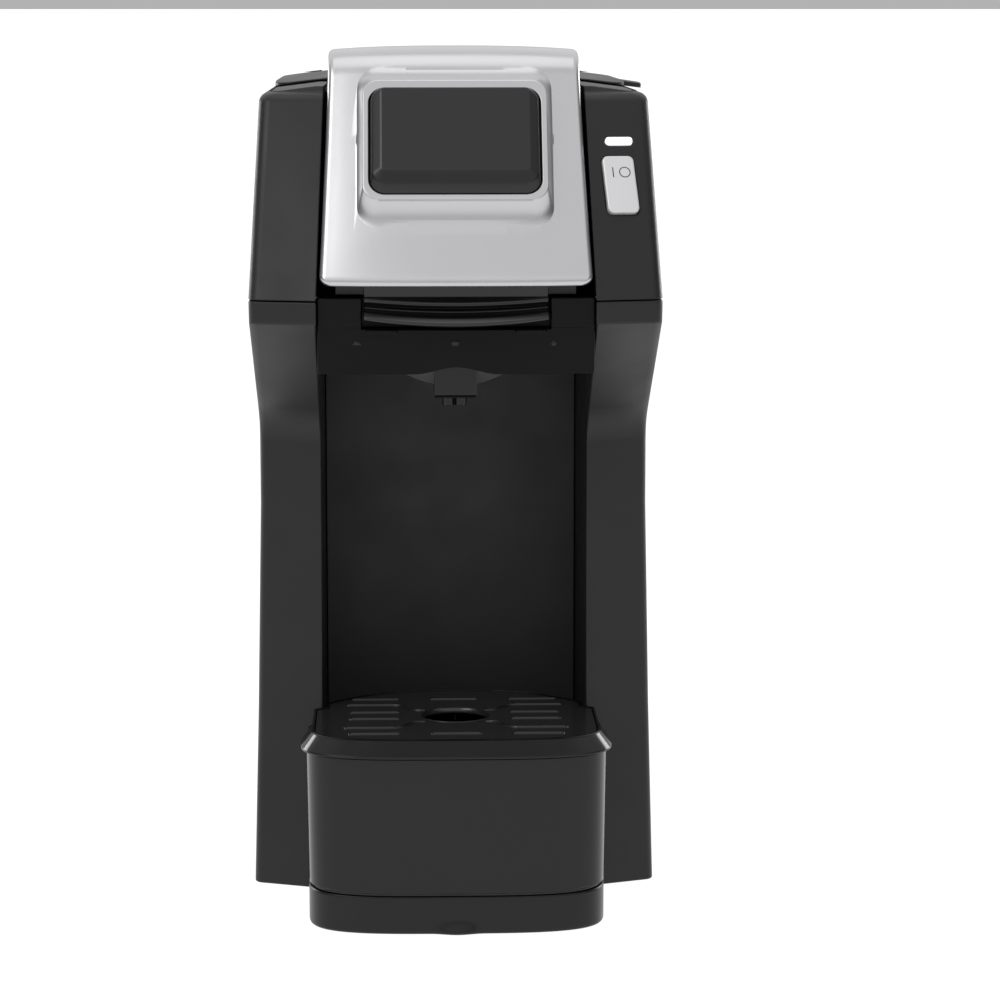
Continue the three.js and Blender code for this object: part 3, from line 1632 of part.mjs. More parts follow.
// Crowned lid over the tank, with hinge barrel, stub pins and a finger tab at its right end.
function tankLid() {
  const lowZ = deckZ + seatGap;
  const edgeZ = lowZ - deckFall(tabReachX);
  const rearEdgeY = tankHingeY - tankLidRearInset;
  const outline = rectangle(
    -tankLidHalfWidth, tankLidHalfWidth, tankLidFrontY, rearEdgeY, tankLidCorner,
  );
  const tab = rectangle(0, tabReachX, tabFrontY, tabFrontY + tabLength, tabCorner);
  const crown = Array.from({ length: 2 * arcSteps + 1 }, (_, i) => {
    const x = (i / arcSteps - 1) * tabReachX;
    const fall = (tankLidCrestZ - tankLidEdgeZ) * (x / tankLidHalfWidth) ** 2;
    return [x, tankLidCrestZ - fall];
  });
  const loop = (y, drop) => [
    [-deckFlatHalfWidth, lowZ],
    [-tabReachX, edgeZ],
    ...crown.map(([x, z]) => [x, z - drop]),
    [tabReachX, edgeZ],
    [deckFlatHalfWidth, lowZ],
  ].map(([x, z]) => new THREE.Vector3(x, y, z));
  const crowned = loft([
    loop(tankLidFrontY - overrun, tankLidFrontDrop),
    loop(tankLidFrontY, tankLidFrontDrop),
    loop(tankLidFrontY + tankLidLead, 0),
    loop(tankHingeY + overrun, 0),
  ]);
  const [floorZ, roofZ] = [edgeZ - overrun, tankLidCrestZ + overrun];
  const plan = joined(prism(outline, floorZ, roofZ), prism(tab, floorZ, roofZ));
  const barrelX = tankBarrelHalfWidth;
  const barrel = crossRod(-barrelX, barrelX, tankHingeY, tankHingeZ, tankBarrelRadius);
  const web = block(-barrelX, barrelX, rearEdgeY - wall, tankHingeY, lowZ, lowZ + thinWall);
  const pinX = barrelX + slideGap + wall;
  const pins = crossRod(-pinX, pinX, tankHingeY, tankHingeZ, tankPinRadius);
  return joined(crowned.intersect(plan), web, barrel, pins);
}

// Cast heater: an oblong section with the water bore, swept round the horseshoe.
function heater() {
  const spine = (radius, past) => {
    const endY = heaterY - heaterLeg - past;
    const line = [new THREE.Vector3(-radius, endY, heaterZ)];
    for (let i = 0; i <= 2 * arcSteps; i++) {
      const angle = (pi * i) / (2 * arcSteps);
      const y = heaterY + radius * Math.sin(angle);
      line.push(new THREE.Vector3(-radius * Math.cos(angle), y, heaterZ));
    }
    line.push(new THREE.Vector3(radius, endY, heaterZ));
    return line;
  };
  const swept = (width, height, radius, past) => {
    const inner = spine(heaterRadius - width, past);
    const outer = spine(heaterRadius + width, past);
    const ring = rectangle(-1, 1, -1, 1, radius);
    return loft(
      inner.map((point, i) =>
        ring.map(({ x, y }) => {
          const place = point.clone().lerp(outer[i], (x + 1) / 2);
          return place.setZ(heaterZ + y * height);
        }),
      ),
    );
  };
  const body = swept(heaterTubeRadius, heaterTubeRadius + wall, 1 / 2, 0);
  const bore = swept(hoseBore, hoseBore, 1 / 2, overrun);
  return body.subtract(bore);
}

// Bracket that carries the heater on the floor.
function heaterBracket() {
  const lowZ = floorTopZ + seatGap;
  const topZ = heaterZ - heaterTubeRadius - wall - seatGap;
  const backY = heaterY + heaterRadius;
  const footY = backY - heaterLeg;
  return across(
    [
      [footY, lowZ],
      [backY, lowZ],
      [backY, topZ - bracketThickness],
      [backY + heaterTubeRadius, topZ - bracketThickness],
      [backY + heaterTubeRadius, topZ],
      [backY - bracketThickness, topZ],
      [backY - bracketThickness, lowZ + bracketThickness],
      [footY, lowZ + bracketThickness],
    ],
    -bracketHalfWidth,
    bracketHalfWidth,
  );
}

// Thermostat, a capped disc on the heater's back, and the thermal fuse in its clip.
function thermostat() {
  const lowZ = heaterZ + heaterTubeRadius + wall + seatGap;
  const y = heaterY + heaterRadius;
  const capRadius = sensorRadius - thinWall;
  return turned(0, y, [
    [0, lowZ],
    [sensorRadius, lowZ],
    [sensorRadius, lowZ + sensorHeight / 2],
    [capRadius, lowZ + sensorHeight / 2],
    [capRadius, lowZ + sensorHeight],
    [0, lowZ + sensorHeight],
  ]);
}

function thermalFuse() {
  const z = heaterZ + heaterTubeRadius + wall + seatGap + fuseRadius;
  return deepRod(heaterRadius, heaterY - fuseLength, heaterY, z, fuseRadius);
}

// One-way valve under the tank's outlet, with a shoulder and a hose spigot.
function checkValve() {
  const topZ = tankBottomZ - outletLength - seatGap;
  const spigotZ = topZ - valveHeight;
  const shoulderZ = topZ - valveHeight * valveShoulderShare;
  return turned(
    outletX, outletY,
    [
      [outletBore, spigotZ],
      [hoseRadius, spigotZ],
      [hoseRadius, shoulderZ],
      [valveRadius, shoulderZ],
      [valveRadius, topZ],
      [outletBore, topZ],
      [outletBore, spigotZ],
    ],
  );
}

// End of a hose that turns from straight down into the heater's end.
function hoseTurn(x) {
  const heaterEndY = heaterY - heaterLeg - seatGap;
  const top = new THREE.Vector3(x, hoseY, heaterZ + hoseBend);
  const bend = new THREE.Vector3(x, hoseY, heaterZ);
  const end = new THREE.Vector3(x, heaterEndY, heaterZ);
  return { top, curve: new THREE.QuadraticBezierCurve3(top, bend, end) };
}

// Hose from the valve down to the heater's left end.
function inletHose() {
  const path = new THREE.CurvePath();
  const topZ = tankBottomZ - outletLength - seatGap - valveHeight - seatGap;
  const { top, curve } = hoseTurn(-heaterRadius);
  const start = new THREE.Vector3(outletX, outletY, topZ);
  const leave = new THREE.Vector3(outletX, outletY, hoseDropZ);
  const meet = new THREE.Vector3(-heaterRadius, hoseY, hoseMeetZ);
  const middleZ = (hoseDropZ + hoseMeetZ) / 2;
  const swing = new THREE.CubicBezierCurve3(
    leave, leave.clone().setZ(middleZ), meet.clone().setZ(middleZ), meet,
  );
  path.add(new THREE.LineCurve3(start, leave));
  path.add(swing);
  path.add(new THREE.LineCurve3(meet, top));
  path.add(curve);
  return pipe(path, hoseRadius, hoseBore, hoseSteps);
}

// Hose from the heater's right end up behind the chamber.
function riserHose() {
  const path = new THREE.CurvePath();
  const { top, curve } = hoseTurn(heaterRadius);
  const high = new THREE.Vector3(heaterRadius, hoseY, riserTopZ - hoseBend);
  const bend = high.clone().setZ(riserTopZ);
  const end = new THREE.Vector3(heaterRadius, outletPipeBackY() + seatGap, riserTopZ);
  const into = end.clone().setY(hoseY - hoseBend);
  const start = curve.getPoint(1);
  path.add(new THREE.QuadraticBezierCurve3(start, curve.v1, top));
  path.add(new THREE.LineCurve3(top, high));
  path.add(new THREE.QuadraticBezierCurve3(high, bend, into));
  path.add(new THREE.LineCurve3(into, end));
  return pipe(path, hoseRadius, hoseBore, hoseSteps);
}

function outletPipeBackY() {
  return chamberRearY + wall + elbowReach - hoseRadius;
}

// Outlet pipe through the chamber's rear wall, with a flange behind it.
function outletPipe() {
  const frontY = chamberRearY - seatGap;
  const flangeY = chamberRearY + wall + seatGap;
  const backY = outletPipeBackY();
  const spigot = deepRod(heaterRadius, frontY, backY, riserTopZ, hoseRadius);
  const flange = deepRod(heaterRadius, flangeY, flangeY + thinWall, riserTopZ, valveRadius);
  const bore = deepRod(heaterRadius, frontY - overrun, backY + overrun, riserTopZ, hoseBore);
  return cutBy(spigot.add(flange), bore);
}

// Finishes: colour, roughness and metalness
const finishes = {
  satinBlack: [0x26262a, 0.42, 0],
  glossBlack: [0x1d1d20, 0.16, 0],
  panelBlack: [0x222224, 0.55, 0],
  silver: [0xc9cacd, 0.34, 0.55],
  charcoal: [0x3b3c3f, 0.38, 0.1],
  greyPlastic: [0x8f8f90, 0.5, 0],
  innerBlack: [0x19191b, 0.6, 0],
  steel: [0xb6b8ba, 0.28, 1],
  castAluminium: [0x9b9ea1, 0.45, 0.9],
  rubber: [0x161616, 0.85, 0],
  silicone: [0xd9d6cf, 0.6, 0],
  smokedClear: [0x5c6064, 0.12, 0],
  board: [0x1f5a3a, 0.6, 0],
  lamp: [0xf4f6f8, 0.3, 0],
};

// Every piece of the machine: its name, its finish and its solid.
const pieces = [
  ["lower_housing", "satinBlack", lowerHousing()],
  ["upper_housing", "satinBlack", upperHousing()],
  ["alcove_panel", "panelBlack", alcovePanel()],
  ["rear_cover", "satinBlack", rearCover()],
  ["cord_bushing", "rubber", cordBushing()],
  ["base", "satinBlack", base()],
  ...rubberPlaces.map((place) => [place.name, "rubber", rubberFoot(place)]),
  ["brew_head", "satinBlack", brewHead()],
  ["brew_basket", "greyPlastic", brewBasket()],
  ["pod_holder", "innerBlack", podHolder()],
  ["lower_needle", "steel", lowerNeedle()],
  ["spout", "innerBlack", spout()],
  ["water_tank", "smokedClear", waterTank()],
  ["check_valve", "innerBlack", checkValve()],
  ["inlet_hose", "silicone", inletHose()],
  ["heater", "castAluminium", heater()],
  ["heater_bracket", "steel", heaterBracket()],
  ["thermostat", "steel", thermostat()],
  ["thermal_fuse", "steel", thermalFuse()],
  ["riser_hose", "silicone", riserHose()],
  ["outlet_pipe", "innerBlack", outletPipe()],
  ["control_board", "board", controlBoard()],
  ["brew_switch", "innerBlack", brewSwitch()],
  ["light_source", "lamp", lightSource()],
  ["light_lens", "lamp", lightLens()],
  ["brew_button", "silver", brewButton()],
  ["lid_shell", "silver", lidShell()],
  ["lid_liner", "innerBlack", lidLiner()],
  ["badge_plate", "charcoal", badgePlate()],
  ["lift_handle", "glossBlack", liftHandle()],
  ["upper_needle", "steel", upperNeedle()],
  ["pod_seal", "silicone", podSeal()],
  ["lid_hinge_pin", "steel", lidHingePin()],
  ["tank_lid", "satinBlack", tankLid()],
  ["cup_rest", "glossBlack", cupRest()],
  ["drip_tray", "glossBlack", dripTray()],
  ["drip_grate", "glossBlack", dripGrate()],
];

const coffeeMaker = new THREE.Group();
coffeeMaker.name = "pod_coffee_maker";
for (const [name, finish, solid] of pieces) {
  const [color, roughness, metalness] = finishes[finish];
  const material = new THREE.MeshStandardMaterial({ color, roughness, metalness });
  const mesh = new THREE.Mesh(geometryOf(solid), material);
  mesh.name = name;
  coffeeMaker.add(mesh);
}

export default coffeeMaker;
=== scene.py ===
"""Visible surfaces, finishes, light and camera of a single-serve pod coffee maker.

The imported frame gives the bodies, the joints and the plain solids. The classes below build the fine
surfaces of each sub-assembly in millimetres, in the frame's axes: +Z up, +X to the user's right and the
front facing -Y.
"""

import json
import logging
import math
from dataclasses import dataclass, field
from enum import Enum
from typing import ClassVar, Iterable, Sequence

import bmesh
import bpy
from mathutils import Matrix, Vector

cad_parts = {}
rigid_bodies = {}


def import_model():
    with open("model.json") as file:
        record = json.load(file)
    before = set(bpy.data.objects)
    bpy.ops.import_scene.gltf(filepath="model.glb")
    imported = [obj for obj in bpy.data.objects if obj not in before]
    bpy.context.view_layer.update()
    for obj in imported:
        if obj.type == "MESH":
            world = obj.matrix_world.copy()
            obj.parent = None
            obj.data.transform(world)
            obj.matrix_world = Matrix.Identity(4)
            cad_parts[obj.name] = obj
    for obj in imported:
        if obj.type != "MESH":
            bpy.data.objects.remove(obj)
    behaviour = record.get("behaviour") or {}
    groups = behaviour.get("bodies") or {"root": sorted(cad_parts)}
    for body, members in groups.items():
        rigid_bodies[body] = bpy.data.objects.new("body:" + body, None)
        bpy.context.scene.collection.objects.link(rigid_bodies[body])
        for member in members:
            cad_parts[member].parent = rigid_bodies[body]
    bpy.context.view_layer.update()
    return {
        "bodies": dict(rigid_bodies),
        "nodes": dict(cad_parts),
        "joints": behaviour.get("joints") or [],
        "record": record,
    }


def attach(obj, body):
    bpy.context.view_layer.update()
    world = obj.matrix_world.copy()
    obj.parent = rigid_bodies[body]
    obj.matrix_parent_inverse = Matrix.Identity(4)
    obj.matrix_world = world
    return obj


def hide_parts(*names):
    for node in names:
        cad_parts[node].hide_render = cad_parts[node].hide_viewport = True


Point = tuple[float, float]
Loop = list[Vector]

MM = 0.001
ARC_STEPS = 8
NOSE_STEPS = 96
ROUND_SIDES = 72
ROD_SIDES = 40
LOG = logging.getLogger("coffee_maker")


# Outlines, in millimetres


@dataclass(frozen=True)
class Corner:
    """A corner of an outline and the radius that rounds it."""

    x: float
    y: float
    radius: float = 0.0


def rounded(corners: Sequence[Corner], steps: int = ARC_STEPS) -> list[Point]:
    """Returns the closed outline through the corners.

    Args:
        corners: Corners in order, each with its own radius.
        steps: Segments in each rounded corner.

    Returns:
        Points of the outline.
    """
    points: list[Point] = []
    for i, item in enumerate(corners):
        if item.radius <= 0:
            points.append((item.x, item.y))
            continue
        at = Vector((item.x, item.y))
        before = (Vector((corners[i - 1].x, corners[i - 1].y)) - at).normalized()
        after_item = corners[(i + 1) % len(corners)]
        after = (Vector((after_item.x, after_item.y)) - at).normalized()
        half = before.angle(after) / 2
        centre = at + (before + after).normalized() * (item.radius / math.sin(half))
        reach = item.radius / math.tan(half)
        start = at + before * reach - centre
        end = at + after * reach - centre
        first = math.atan2(start.y, start.x)
        turn = (math.atan2(end.y, end.x) - first + math.pi) % (2 * math.pi) - math.pi
        for k in range(steps + 1):
            angle = first + turn * k / steps
            x = centre.x + item.radius * math.cos(angle)
            y = centre.y + item.radius * math.sin(angle)
            points.append((x, y))
    return points


def mirrored(corners: Sequence[Corner]) -> list[Corner]:
    """Returns right-hand corners, front to rear, followed by their mirror images."""
    return [*corners, *(Corner(-c.x, c.y, c.radius) for c in reversed(corners))]


def rectangle(low_x: float, high_x: float, low_y: float, high_y: float, radius: float = 0.0) -> list[Point]:
    """Returns a rectangle's outline with rounded corners.

    Args:
        low_x: X of the left side.
        high_x: X of the right side.
        low_y: Y of the near side.
        high_y: Y of the far side.
        radius: Radius of all four corners.

    Returns:
        Points of the outline.
    """
    return rounded(
        [
            Corner(low_x, low_y, radius),
            Corner(high_x, low_y, radius),
            Corner(high_x, high_y, radius),
            Corner(low_x, high_y, radius),
        ]
    )


def nose(half_width: float, front_y: float, side_y: float, share: float = 3.5) -> list[Point]:
    """Returns the blunt round front edge of an outline, from its left side to its right.

    Args:
        half_width: Half of the outline's width.
        front_y: Y of the foremost point.
        side_y: Y where the round part meets the straight sides.
        share: Squareness of the curve, two for an ellipse.

    Returns:
        Points of the edge.
    """
    power = 2 / share
    points = []
    for i in range(NOSE_STEPS + 1):
        angle = math.pi * i / NOSE_STEPS
        across = math.cos(angle)
        x = -math.copysign(abs(across) ** power, across)
        points.append((half_width * x, side_y - (side_y - front_y) * math.sin(angle) ** power))
    return points


def level(outline: Iterable[Point], z: float) -> Loop:
    """Returns a plan outline lifted to a height."""
    return [Vector((x, y, z)) for x, y in outline]


def upright(outline: Iterable[Point], y: float) -> Loop:
    """Returns an outline of X and Z stood up at a depth."""
    return [Vector((x, y, z)) for x, z in outline]


def blend(low: float, high: float, share: float) -> float:
    """Returns the value at a share of the way from low to high."""
    return low + (high - low) * share


def centred(steps: int) -> list[float]:
    """Returns evenly spaced shares from minus one to one, with a number of steps in each half."""
    return [i / steps - 1 for i in range(2 * steps + 1)]


def quarter_turn(steps: int) -> list[Point]:
    """Returns, along a rounded edge, pairs of the share still to go across and the share risen."""
    angles = [math.pi / 2 * i / steps for i in range(steps + 1)]
    return [(1 - math.sin(angle), 1 - math.cos(angle)) for angle in angles]


def table_value(z: float, table: Sequence[Point]) -> float:
    """Returns a value at a height, from pairs of height and value.

    Args:
        z: The height.
        table: Pairs of height and value, from low to high.

    Returns:
        The value between the two nearest pairs.
    """
    for (low_z, low), (high_z, high) in zip(table, table[1:]):
        if z <= high_z:
            return blend(low, high, (z - low_z) / (high_z - low_z))
    return table[-1][1]


# Solids


def new_object(name: str, vertices: Sequence[Vector], faces: Sequence[Sequence[int]]) -> bpy.types.Object:
    """Makes a smooth-shaded mesh object with its faces turned outwards.

    Args:
        name: Name of the object and its mesh.
        vertices: Points in millimetres.
        faces: Faces as lists of the points' numbers.

    Returns:
        The object, linked to the scene.
    """
    mesh = bpy.data.meshes.new(name)
    mesh.from_pydata([tuple(v * MM) for v in vertices], [], [list(f) for f in faces])
    form = bmesh.new()
    form.from_mesh(mesh)
    bmesh.ops.remove_doubles(form, verts=form.verts, dist=0.00001)
    bmesh.ops.recalc_face_normals(form, faces=form.faces)
    form.to_mesh(mesh)
    form.free()
    mesh.shade_smooth()
    piece = bpy.data.objects.new(name, mesh)
    bpy.context.scene.collection.objects.link(piece)
    return piece


def loft(name: str, loops: Sequence[Loop], closed: bool = False) -> bpy.types.Object:
    """Makes a solid through loops of equally many points.

    Args:
        name: Name of the piece.
        loops: Loops from one end to the other.
        closed: Joins the last loop to the first, as on a ring, and leaves no end faces.

    Returns:
        The solid.
    """
    count = len(loops[0])
    vertices = [point for loop in loops for point in loop]
    faces: list[list[int]] = []
    rings = len(loops)
    for i in range(rings if closed else rings - 1):
        low, high = i * count, ((i + 1) % rings) * count
        faces += [[low + j, low + (j + 1) % count, high + (j + 1) % count, high + j] for j in range(count)]
    if not closed:
        faces += [list(range(count)), list(range((rings - 1) * count, rings * count))]
    return new_object(name, vertices, faces)


def prism(name: str, outline: Sequence[Point], low_z: float, high_z: float) -> bpy.types.Object:
    """Makes an upright solid on a plan outline."""
    return loft(name, [level(outline, low_z), level(outline, high_z)])


def block(name: str, low: Sequence[float], high: Sequence[float]) -> bpy.types.Object:
    """Makes a block between two opposite corners, used to cut and join."""
    return prism(name, rectangle(low[0], high[0], low[1], high[1]), low[2], high[2])


def turned(
    name: str, x: float, y: float, profile: Sequence[Point], sides: int = ROUND_SIDES
) -> bpy.types.Object:
    """Makes a solid of revolution about an upright axis.

    Args:
        name: Name of the piece.
        x: X of the axis.
        y: Y of the axis.
        profile: Closed profile of radius and height.
        sides: Segments round the axis.

    Returns:
        The solid.
    """
    loops = []
    for i in range(sides):
        angle = 2 * math.pi * i / sides
        spoke = (math.cos(angle), math.sin(angle))
        loops.append([Vector((x + r * spoke[0], y + r * spoke[1], z)) for r, z in profile])
    return loft(name, loops, closed=True)


def cross_rod(name: str, low_x: float, high_x: float, y: float, z: float, radius: float) -> bpy.types.Object:
    """Makes a cylinder across the machine.

    Args:
        name: Name of the solid.
        low_x: X of its left end.
        high_x: X of its right end.
        y: Y of its axis.
        z: Height of its axis.
        radius: Its radius.

    Returns:
        The solid.
    """
    turns = [2 * math.pi * i / ROD_SIDES for i in range(ROD_SIDES)]
    loops = []
    for x in (low_x, high_x):
        loops.append([Vector((x, y + radius * math.cos(a), z + radius * math.sin(a))) for a in turns])
    return loft(name, loops)


def post(name: str, x: float, y: float, low_z: float, high_z: float, radius: float) -> bpy.types.Object:
    """Makes an upright cylinder.

    Args:
        name: Name of the solid.
        x: X of its axis.
        y: Y of its axis.
        low_z: Height of its lower end.
        high_z: Height of its upper end.
        radius: Its radius.

    Returns:
        The solid.
    """
    turns = [2 * math.pi * i / ROUND_SIDES for i in range(ROUND_SIDES)]
    outline = [(x + radius * math.cos(a), y + radius * math.sin(a)) for a in turns]
    return prism(name, outline, low_z, high_z)


class Joining(Enum):
    """How a second solid changes the first."""

    CUT = "DIFFERENCE"
    ADD = "UNION"
    KEEP = "INTERSECT"


def combine(target: bpy.types.Object, tools: Iterable[bpy.types.Object], how: Joining) -> bpy.types.Object:
    """Cuts, joins or intersects solids and keeps the result as the target's own mesh.

    Args:
        target: Solid that is changed.
        tools: Solids that change it, which are used up.
        how: What each of them does.

    Returns:
        The target.
    """
    for tool in tools:
        step = target.modifiers.new("joining", "BOOLEAN")
        step.operation = how.value
        step.solver = "EXACT"
        step.object = tool
        settle(target)
        bpy.data.objects.remove(tool, do_unlink=True)
    return target


def settle(piece: bpy.types.Object) -> None:
    """Turns a piece's modifiers into plain mesh.

    Args:
        piece: Piece to change.
    """
    graph = bpy.context.evaluated_depsgraph_get()
    result = bpy.data.meshes.new_from_object(piece.evaluated_get(graph))
    piece.modifiers.clear()
    piece.data = result
    result.shade_smooth()


def ease_edges(piece: bpy.types.Object, width: float, segments: int = 3, angle: float = 32.0) -> None:
    """Rounds the sharp edges of a piece and evens its shading.

    Args:
        piece: Piece to change.
        width: Width of the rounding in millimetres.
        segments: Faces across the rounding.
        angle: Edges sharper than this many degrees are rounded.
    """
    edge = piece.modifiers.new("eased_edges", "BEVEL")
    edge.limit_method = "ANGLE"
    edge.angle_limit = math.radians(angle)
    edge.width = width * MM
    edge.segments = segments
    edge.use_clamp_overlap = False
    edge.miter_outer = "MITER_ARC"
    normals = piece.modifiers.new("even_normals", "WEIGHTED_NORMAL")
    normals.keep_sharp = False
    normals.weight = 60


def leaning_frame(origin: Vector, right: Vector, up: Vector) -> Matrix:
    """Returns the frame of a leaning plane: X across it, Y up the slope and Z out of it.

    Args:
        origin: A point of the plane.
        right: A way across the plane.
        up: A way up the plane.

    Returns:
        The frame.
    """
    out = right.cross(up).normalized()
    across = right.normalized()
    slope = out.cross(across).normalized()
    frame = Matrix((across, slope, out)).transposed().to_4x4()
    frame.translation = origin
    return frame


def standing(name: str, frame: Matrix, layers: Sequence[tuple[Sequence[Point], float]]) -> bpy.types.Object:
    """Makes a solid on a leaning plane, from outlines at distances out of it."""
    return loft(name, [[frame @ Vector((x, y, out)) for x, y in outline] for outline, out in layers])


# Finishes


@dataclass(frozen=True)
class Finish:
    """A finish as a node material, with its coordinates on the piece itself.

    Attributes:
        name: Name of the material.
        slot: Slot in the record that the finish belongs to.
        color: Linear base colour.
        roughness: Middle of the roughness range.
        metallic: Share of metal in the surface.
        vary: How far colour and roughness drift over the surface.
        grain: Size of the moulded grain in millimetres.
        relief: Depth of the grain in millimetres.
        coat: Weight of the clear coat.
        specular: Strength of the mirror reflection at a right angle.
        clear: Share of light that passes through.
        glow: Strength of the surface's own light.
        brushed: Stretch of the grain across the machine.
        drift_scale: Cells of the drift per metre.
        noise_span: Range of the noise that is mapped to the drift of the roughness.
        coat_roughness: Roughness of the clear coat.
    """

    name: str
    slot: str
    color: tuple[float, float, float]
    roughness: float
    metallic: float = 0.0
    vary: float = 0.06
    grain: float = 0.5
    relief: float = 0.01
    coat: float = 0.0
    specular: float = 0.5
    clear: float = 0.0
    glow: float = 0.0
    brushed: float = 1.0
    drift_scale: ClassVar[float] = 45.0
    noise_span: ClassVar[Point] = (0.3, 0.7)
    coat_roughness: ClassVar[float] = 0.06

    def material(self) -> bpy.types.Material:
        """Returns the material, built at its first use."""
        made = bpy.data.materials.get(f"{self.name}_finish")
        return made or self.build()

    def build(self) -> bpy.types.Material:
        """Builds the node material: drifting colour and roughness over a fine moulded grain.

        Returns:
            The material.
        """
        made = bpy.data.materials.new(f"{self.name}_finish")
        made.use_nodes = True
        tree = made.node_tree
        shader = tree.nodes["Principled BSDF"]
        place = tree.nodes.new("ShaderNodeTexCoord")
        stretch = tree.nodes.new("ShaderNodeMapping")
        stretch.inputs["Scale"].default_value = (1 / self.brushed, 1.0, 1.0)
        tree.links.new(place.outputs["Object"], stretch.inputs["Vector"])
        drift = self.noise(tree, stretch, self.drift_scale, 3.0)
        grain = self.noise(tree, stretch, 1 / (self.grain * MM), 2.0)
        self.spread(tree, drift, shader.inputs["Roughness"], self.roughness, self.vary)
        tint = tree.nodes.new("ShaderNodeMix")
        tint.data_type = "RGBA"
        tint.inputs["A"].default_value = (*(c * (1 - self.vary) for c in self.color), 1)
        tint.inputs["B"].default_value = (*(min(c * (1 + self.vary), 1) for c in self.color), 1)
        tree.links.new(drift.outputs["Fac"], tint.inputs["Factor"])
        tree.links.new(tint.outputs["Result"], shader.inputs["Base Color"])
        bump = tree.nodes.new("ShaderNodeBump")
        bump.inputs["Strength"].default_value = 1.0
        bump.inputs["Distance"].default_value = self.relief * MM
        tree.links.new(grain.outputs["Fac"], bump.inputs["Height"])
        tree.links.new(bump.outputs["Normal"], shader.inputs["Normal"])
        shader.inputs["Metallic"].default_value = self.metallic
        shader.inputs["Specular IOR Level"].default_value = self.specular
        shader.inputs["Coat Weight"].default_value = self.coat
        shader.inputs["Coat Roughness"].default_value = self.coat_roughness
        shader.inputs["Transmission Weight"].default_value = self.clear
        if self.glow:
            shader.inputs["Emission Color"].default_value = (*self.color, 1)
            shader.inputs["Emission Strength"].default_value = self.glow
        return made

    @staticmethod
    def noise(tree: bpy.types.NodeTree, place: bpy.types.Node, scale: float, detail: float) -> bpy.types.Node:
        """Adds a noise texture at a scale per metre.

        Args:
            tree: Node tree that gets the node.
            place: Node of the coordinates.
            scale: Cells of the noise per metre.
            detail: Octaves of finer noise.

        Returns:
            The noise node.
        """
        node = tree.nodes.new("ShaderNodeTexNoise")
        node.inputs["Scale"].default_value = scale
        node.inputs["Detail"].default_value = detail
        tree.links.new(place.outputs["Vector"], node.inputs["Vector"])
        return node

    @staticmethod
    def spread(
        tree: bpy.types.NodeTree,
        source: bpy.types.Node,
        socket: bpy.types.NodeSocket,
        middle: float,
        vary: float,
    ) -> None:
        """Maps a texture to a range about a middle value.

        Args:
            tree: Node tree that gets the node.
            source: Node of the texture.
            socket: Input that takes the result.
            middle: Value about which it varies.
            vary: How far it varies, either way.
        """
        node = tree.nodes.new("ShaderNodeMapRange")
        values = (*Finish.noise_span, middle - vary, middle + vary)
        for name, value in zip(("From Min", "From Max", "To Min", "To Max"), values):
            node.inputs[name].default_value = value
        tree.links.new(source.outputs["Fac"], node.inputs["Value"])
        tree.links.new(node.outputs["Result"], socket)


SATIN_BLACK = Finish(
    "satin_black", "satin_black", (0.0120, 0.0114, 0.0119), 0.42, relief=0.012, specular=0.32
)
PANEL_BLACK = Finish("panel_black", "panel_black", (0.028, 0.0265, 0.0275), 0.6, grain=0.7, relief=0.02)
GLOSS_BLACK = Finish(
    "gloss_black", "gloss_black", (0.005, 0.0048, 0.005), 0.14, vary=0.02, relief=0.002, specular=0.32
)
HANDLE_BLACK = Finish("handle_black", "gloss_black", (0.007, 0.007, 0.0075), 0.20, vary=0.03, relief=0.003)
SILVER = Finish(
    "silver", "silver", (0.53, 0.53, 0.54), 0.29,
    metallic=0.92, vary=0.02, grain=0.25, relief=0.003, coat=0.15,
)
CHARCOAL = Finish(
    "charcoal", "charcoal", (0.008, 0.0076, 0.008), 0.30, vary=0.03, relief=0.003, specular=0.36, coat=0.25
)
GREY = Finish("grey_plastic", "grey_plastic", (0.075, 0.073, 0.075), 0.42)
INNER_BLACK = Finish("inner_black", "inner_black", (0.010, 0.010, 0.011), 0.45)
STEEL = Finish(
    "steel", "steel", (0.60, 0.60, 0.61), 0.26, metallic=1.0, vary=0.04, grain=0.2, relief=0.002, brushed=12.0
)
ALUMINIUM = Finish(
    "cast_aluminium", "cast_aluminium", (0.50, 0.51, 0.52), 0.48, metallic=1.0, grain=0.9, relief=0.05
)
RUBBER = Finish(
    "rubber", "rubber", (0.012, 0.012, 0.012), 0.8, vary=0.08, grain=0.4, relief=0.02, specular=0.3
)
SILICONE = Finish("silicone", "silicone", (0.70, 0.68, 0.64), 0.45, vary=0.03, relief=0.004, clear=0.25)
SMOKED = Finish("smoked_clear", "smoked_clear", (0.30, 0.32, 0.34), 0.10, vary=0.02, relief=0.002, clear=0.85)
BOARD = Finish("circuit_board", "circuit_board", (0.012, 0.12, 0.05), 0.35, vary=0.06, relief=0.01, coat=0.3)
# Satin black darkened and made less glossy for the fascia: painted shade for the shade that falls between the
# shoulders under the lid.
FASCIA_PAINTED_SHADE_BLACK = Finish(
    "fascia_painted_shade", "satin_black", (0.004, 0.0037, 0.0038), 0.28, grain=0.6, relief=0.006, specular=0.12
)
SATIN_FOOT = Finish("foot_black", "satin_black", (0.006, 0.006, 0.006), 0.34, relief=0.006, specular=0.3)
BUTTON_SILVER = Finish(
    "button_silver", "silver", (0.66, 0.66, 0.67), 0.34, metallic=0.35, vary=0.02, grain=0.25, relief=0.003
)
# Gloss black lightened fourfold for the grate: painted light for the ambient light and reflections that the
# grate catches in the alcove.
GRATE_PAINTED_LIGHT_BLACK = Finish("grate_painted_light", "gloss_black", (0.020, 0.0195, 0.020), 0.16, vary=0.03, relief=0.003)
LAMP = Finish("lamp", "lamp", (0.93, 0.96, 1.0), 0.35, vary=0.01, relief=0.001, glow=0.75)


# Sub-assemblies


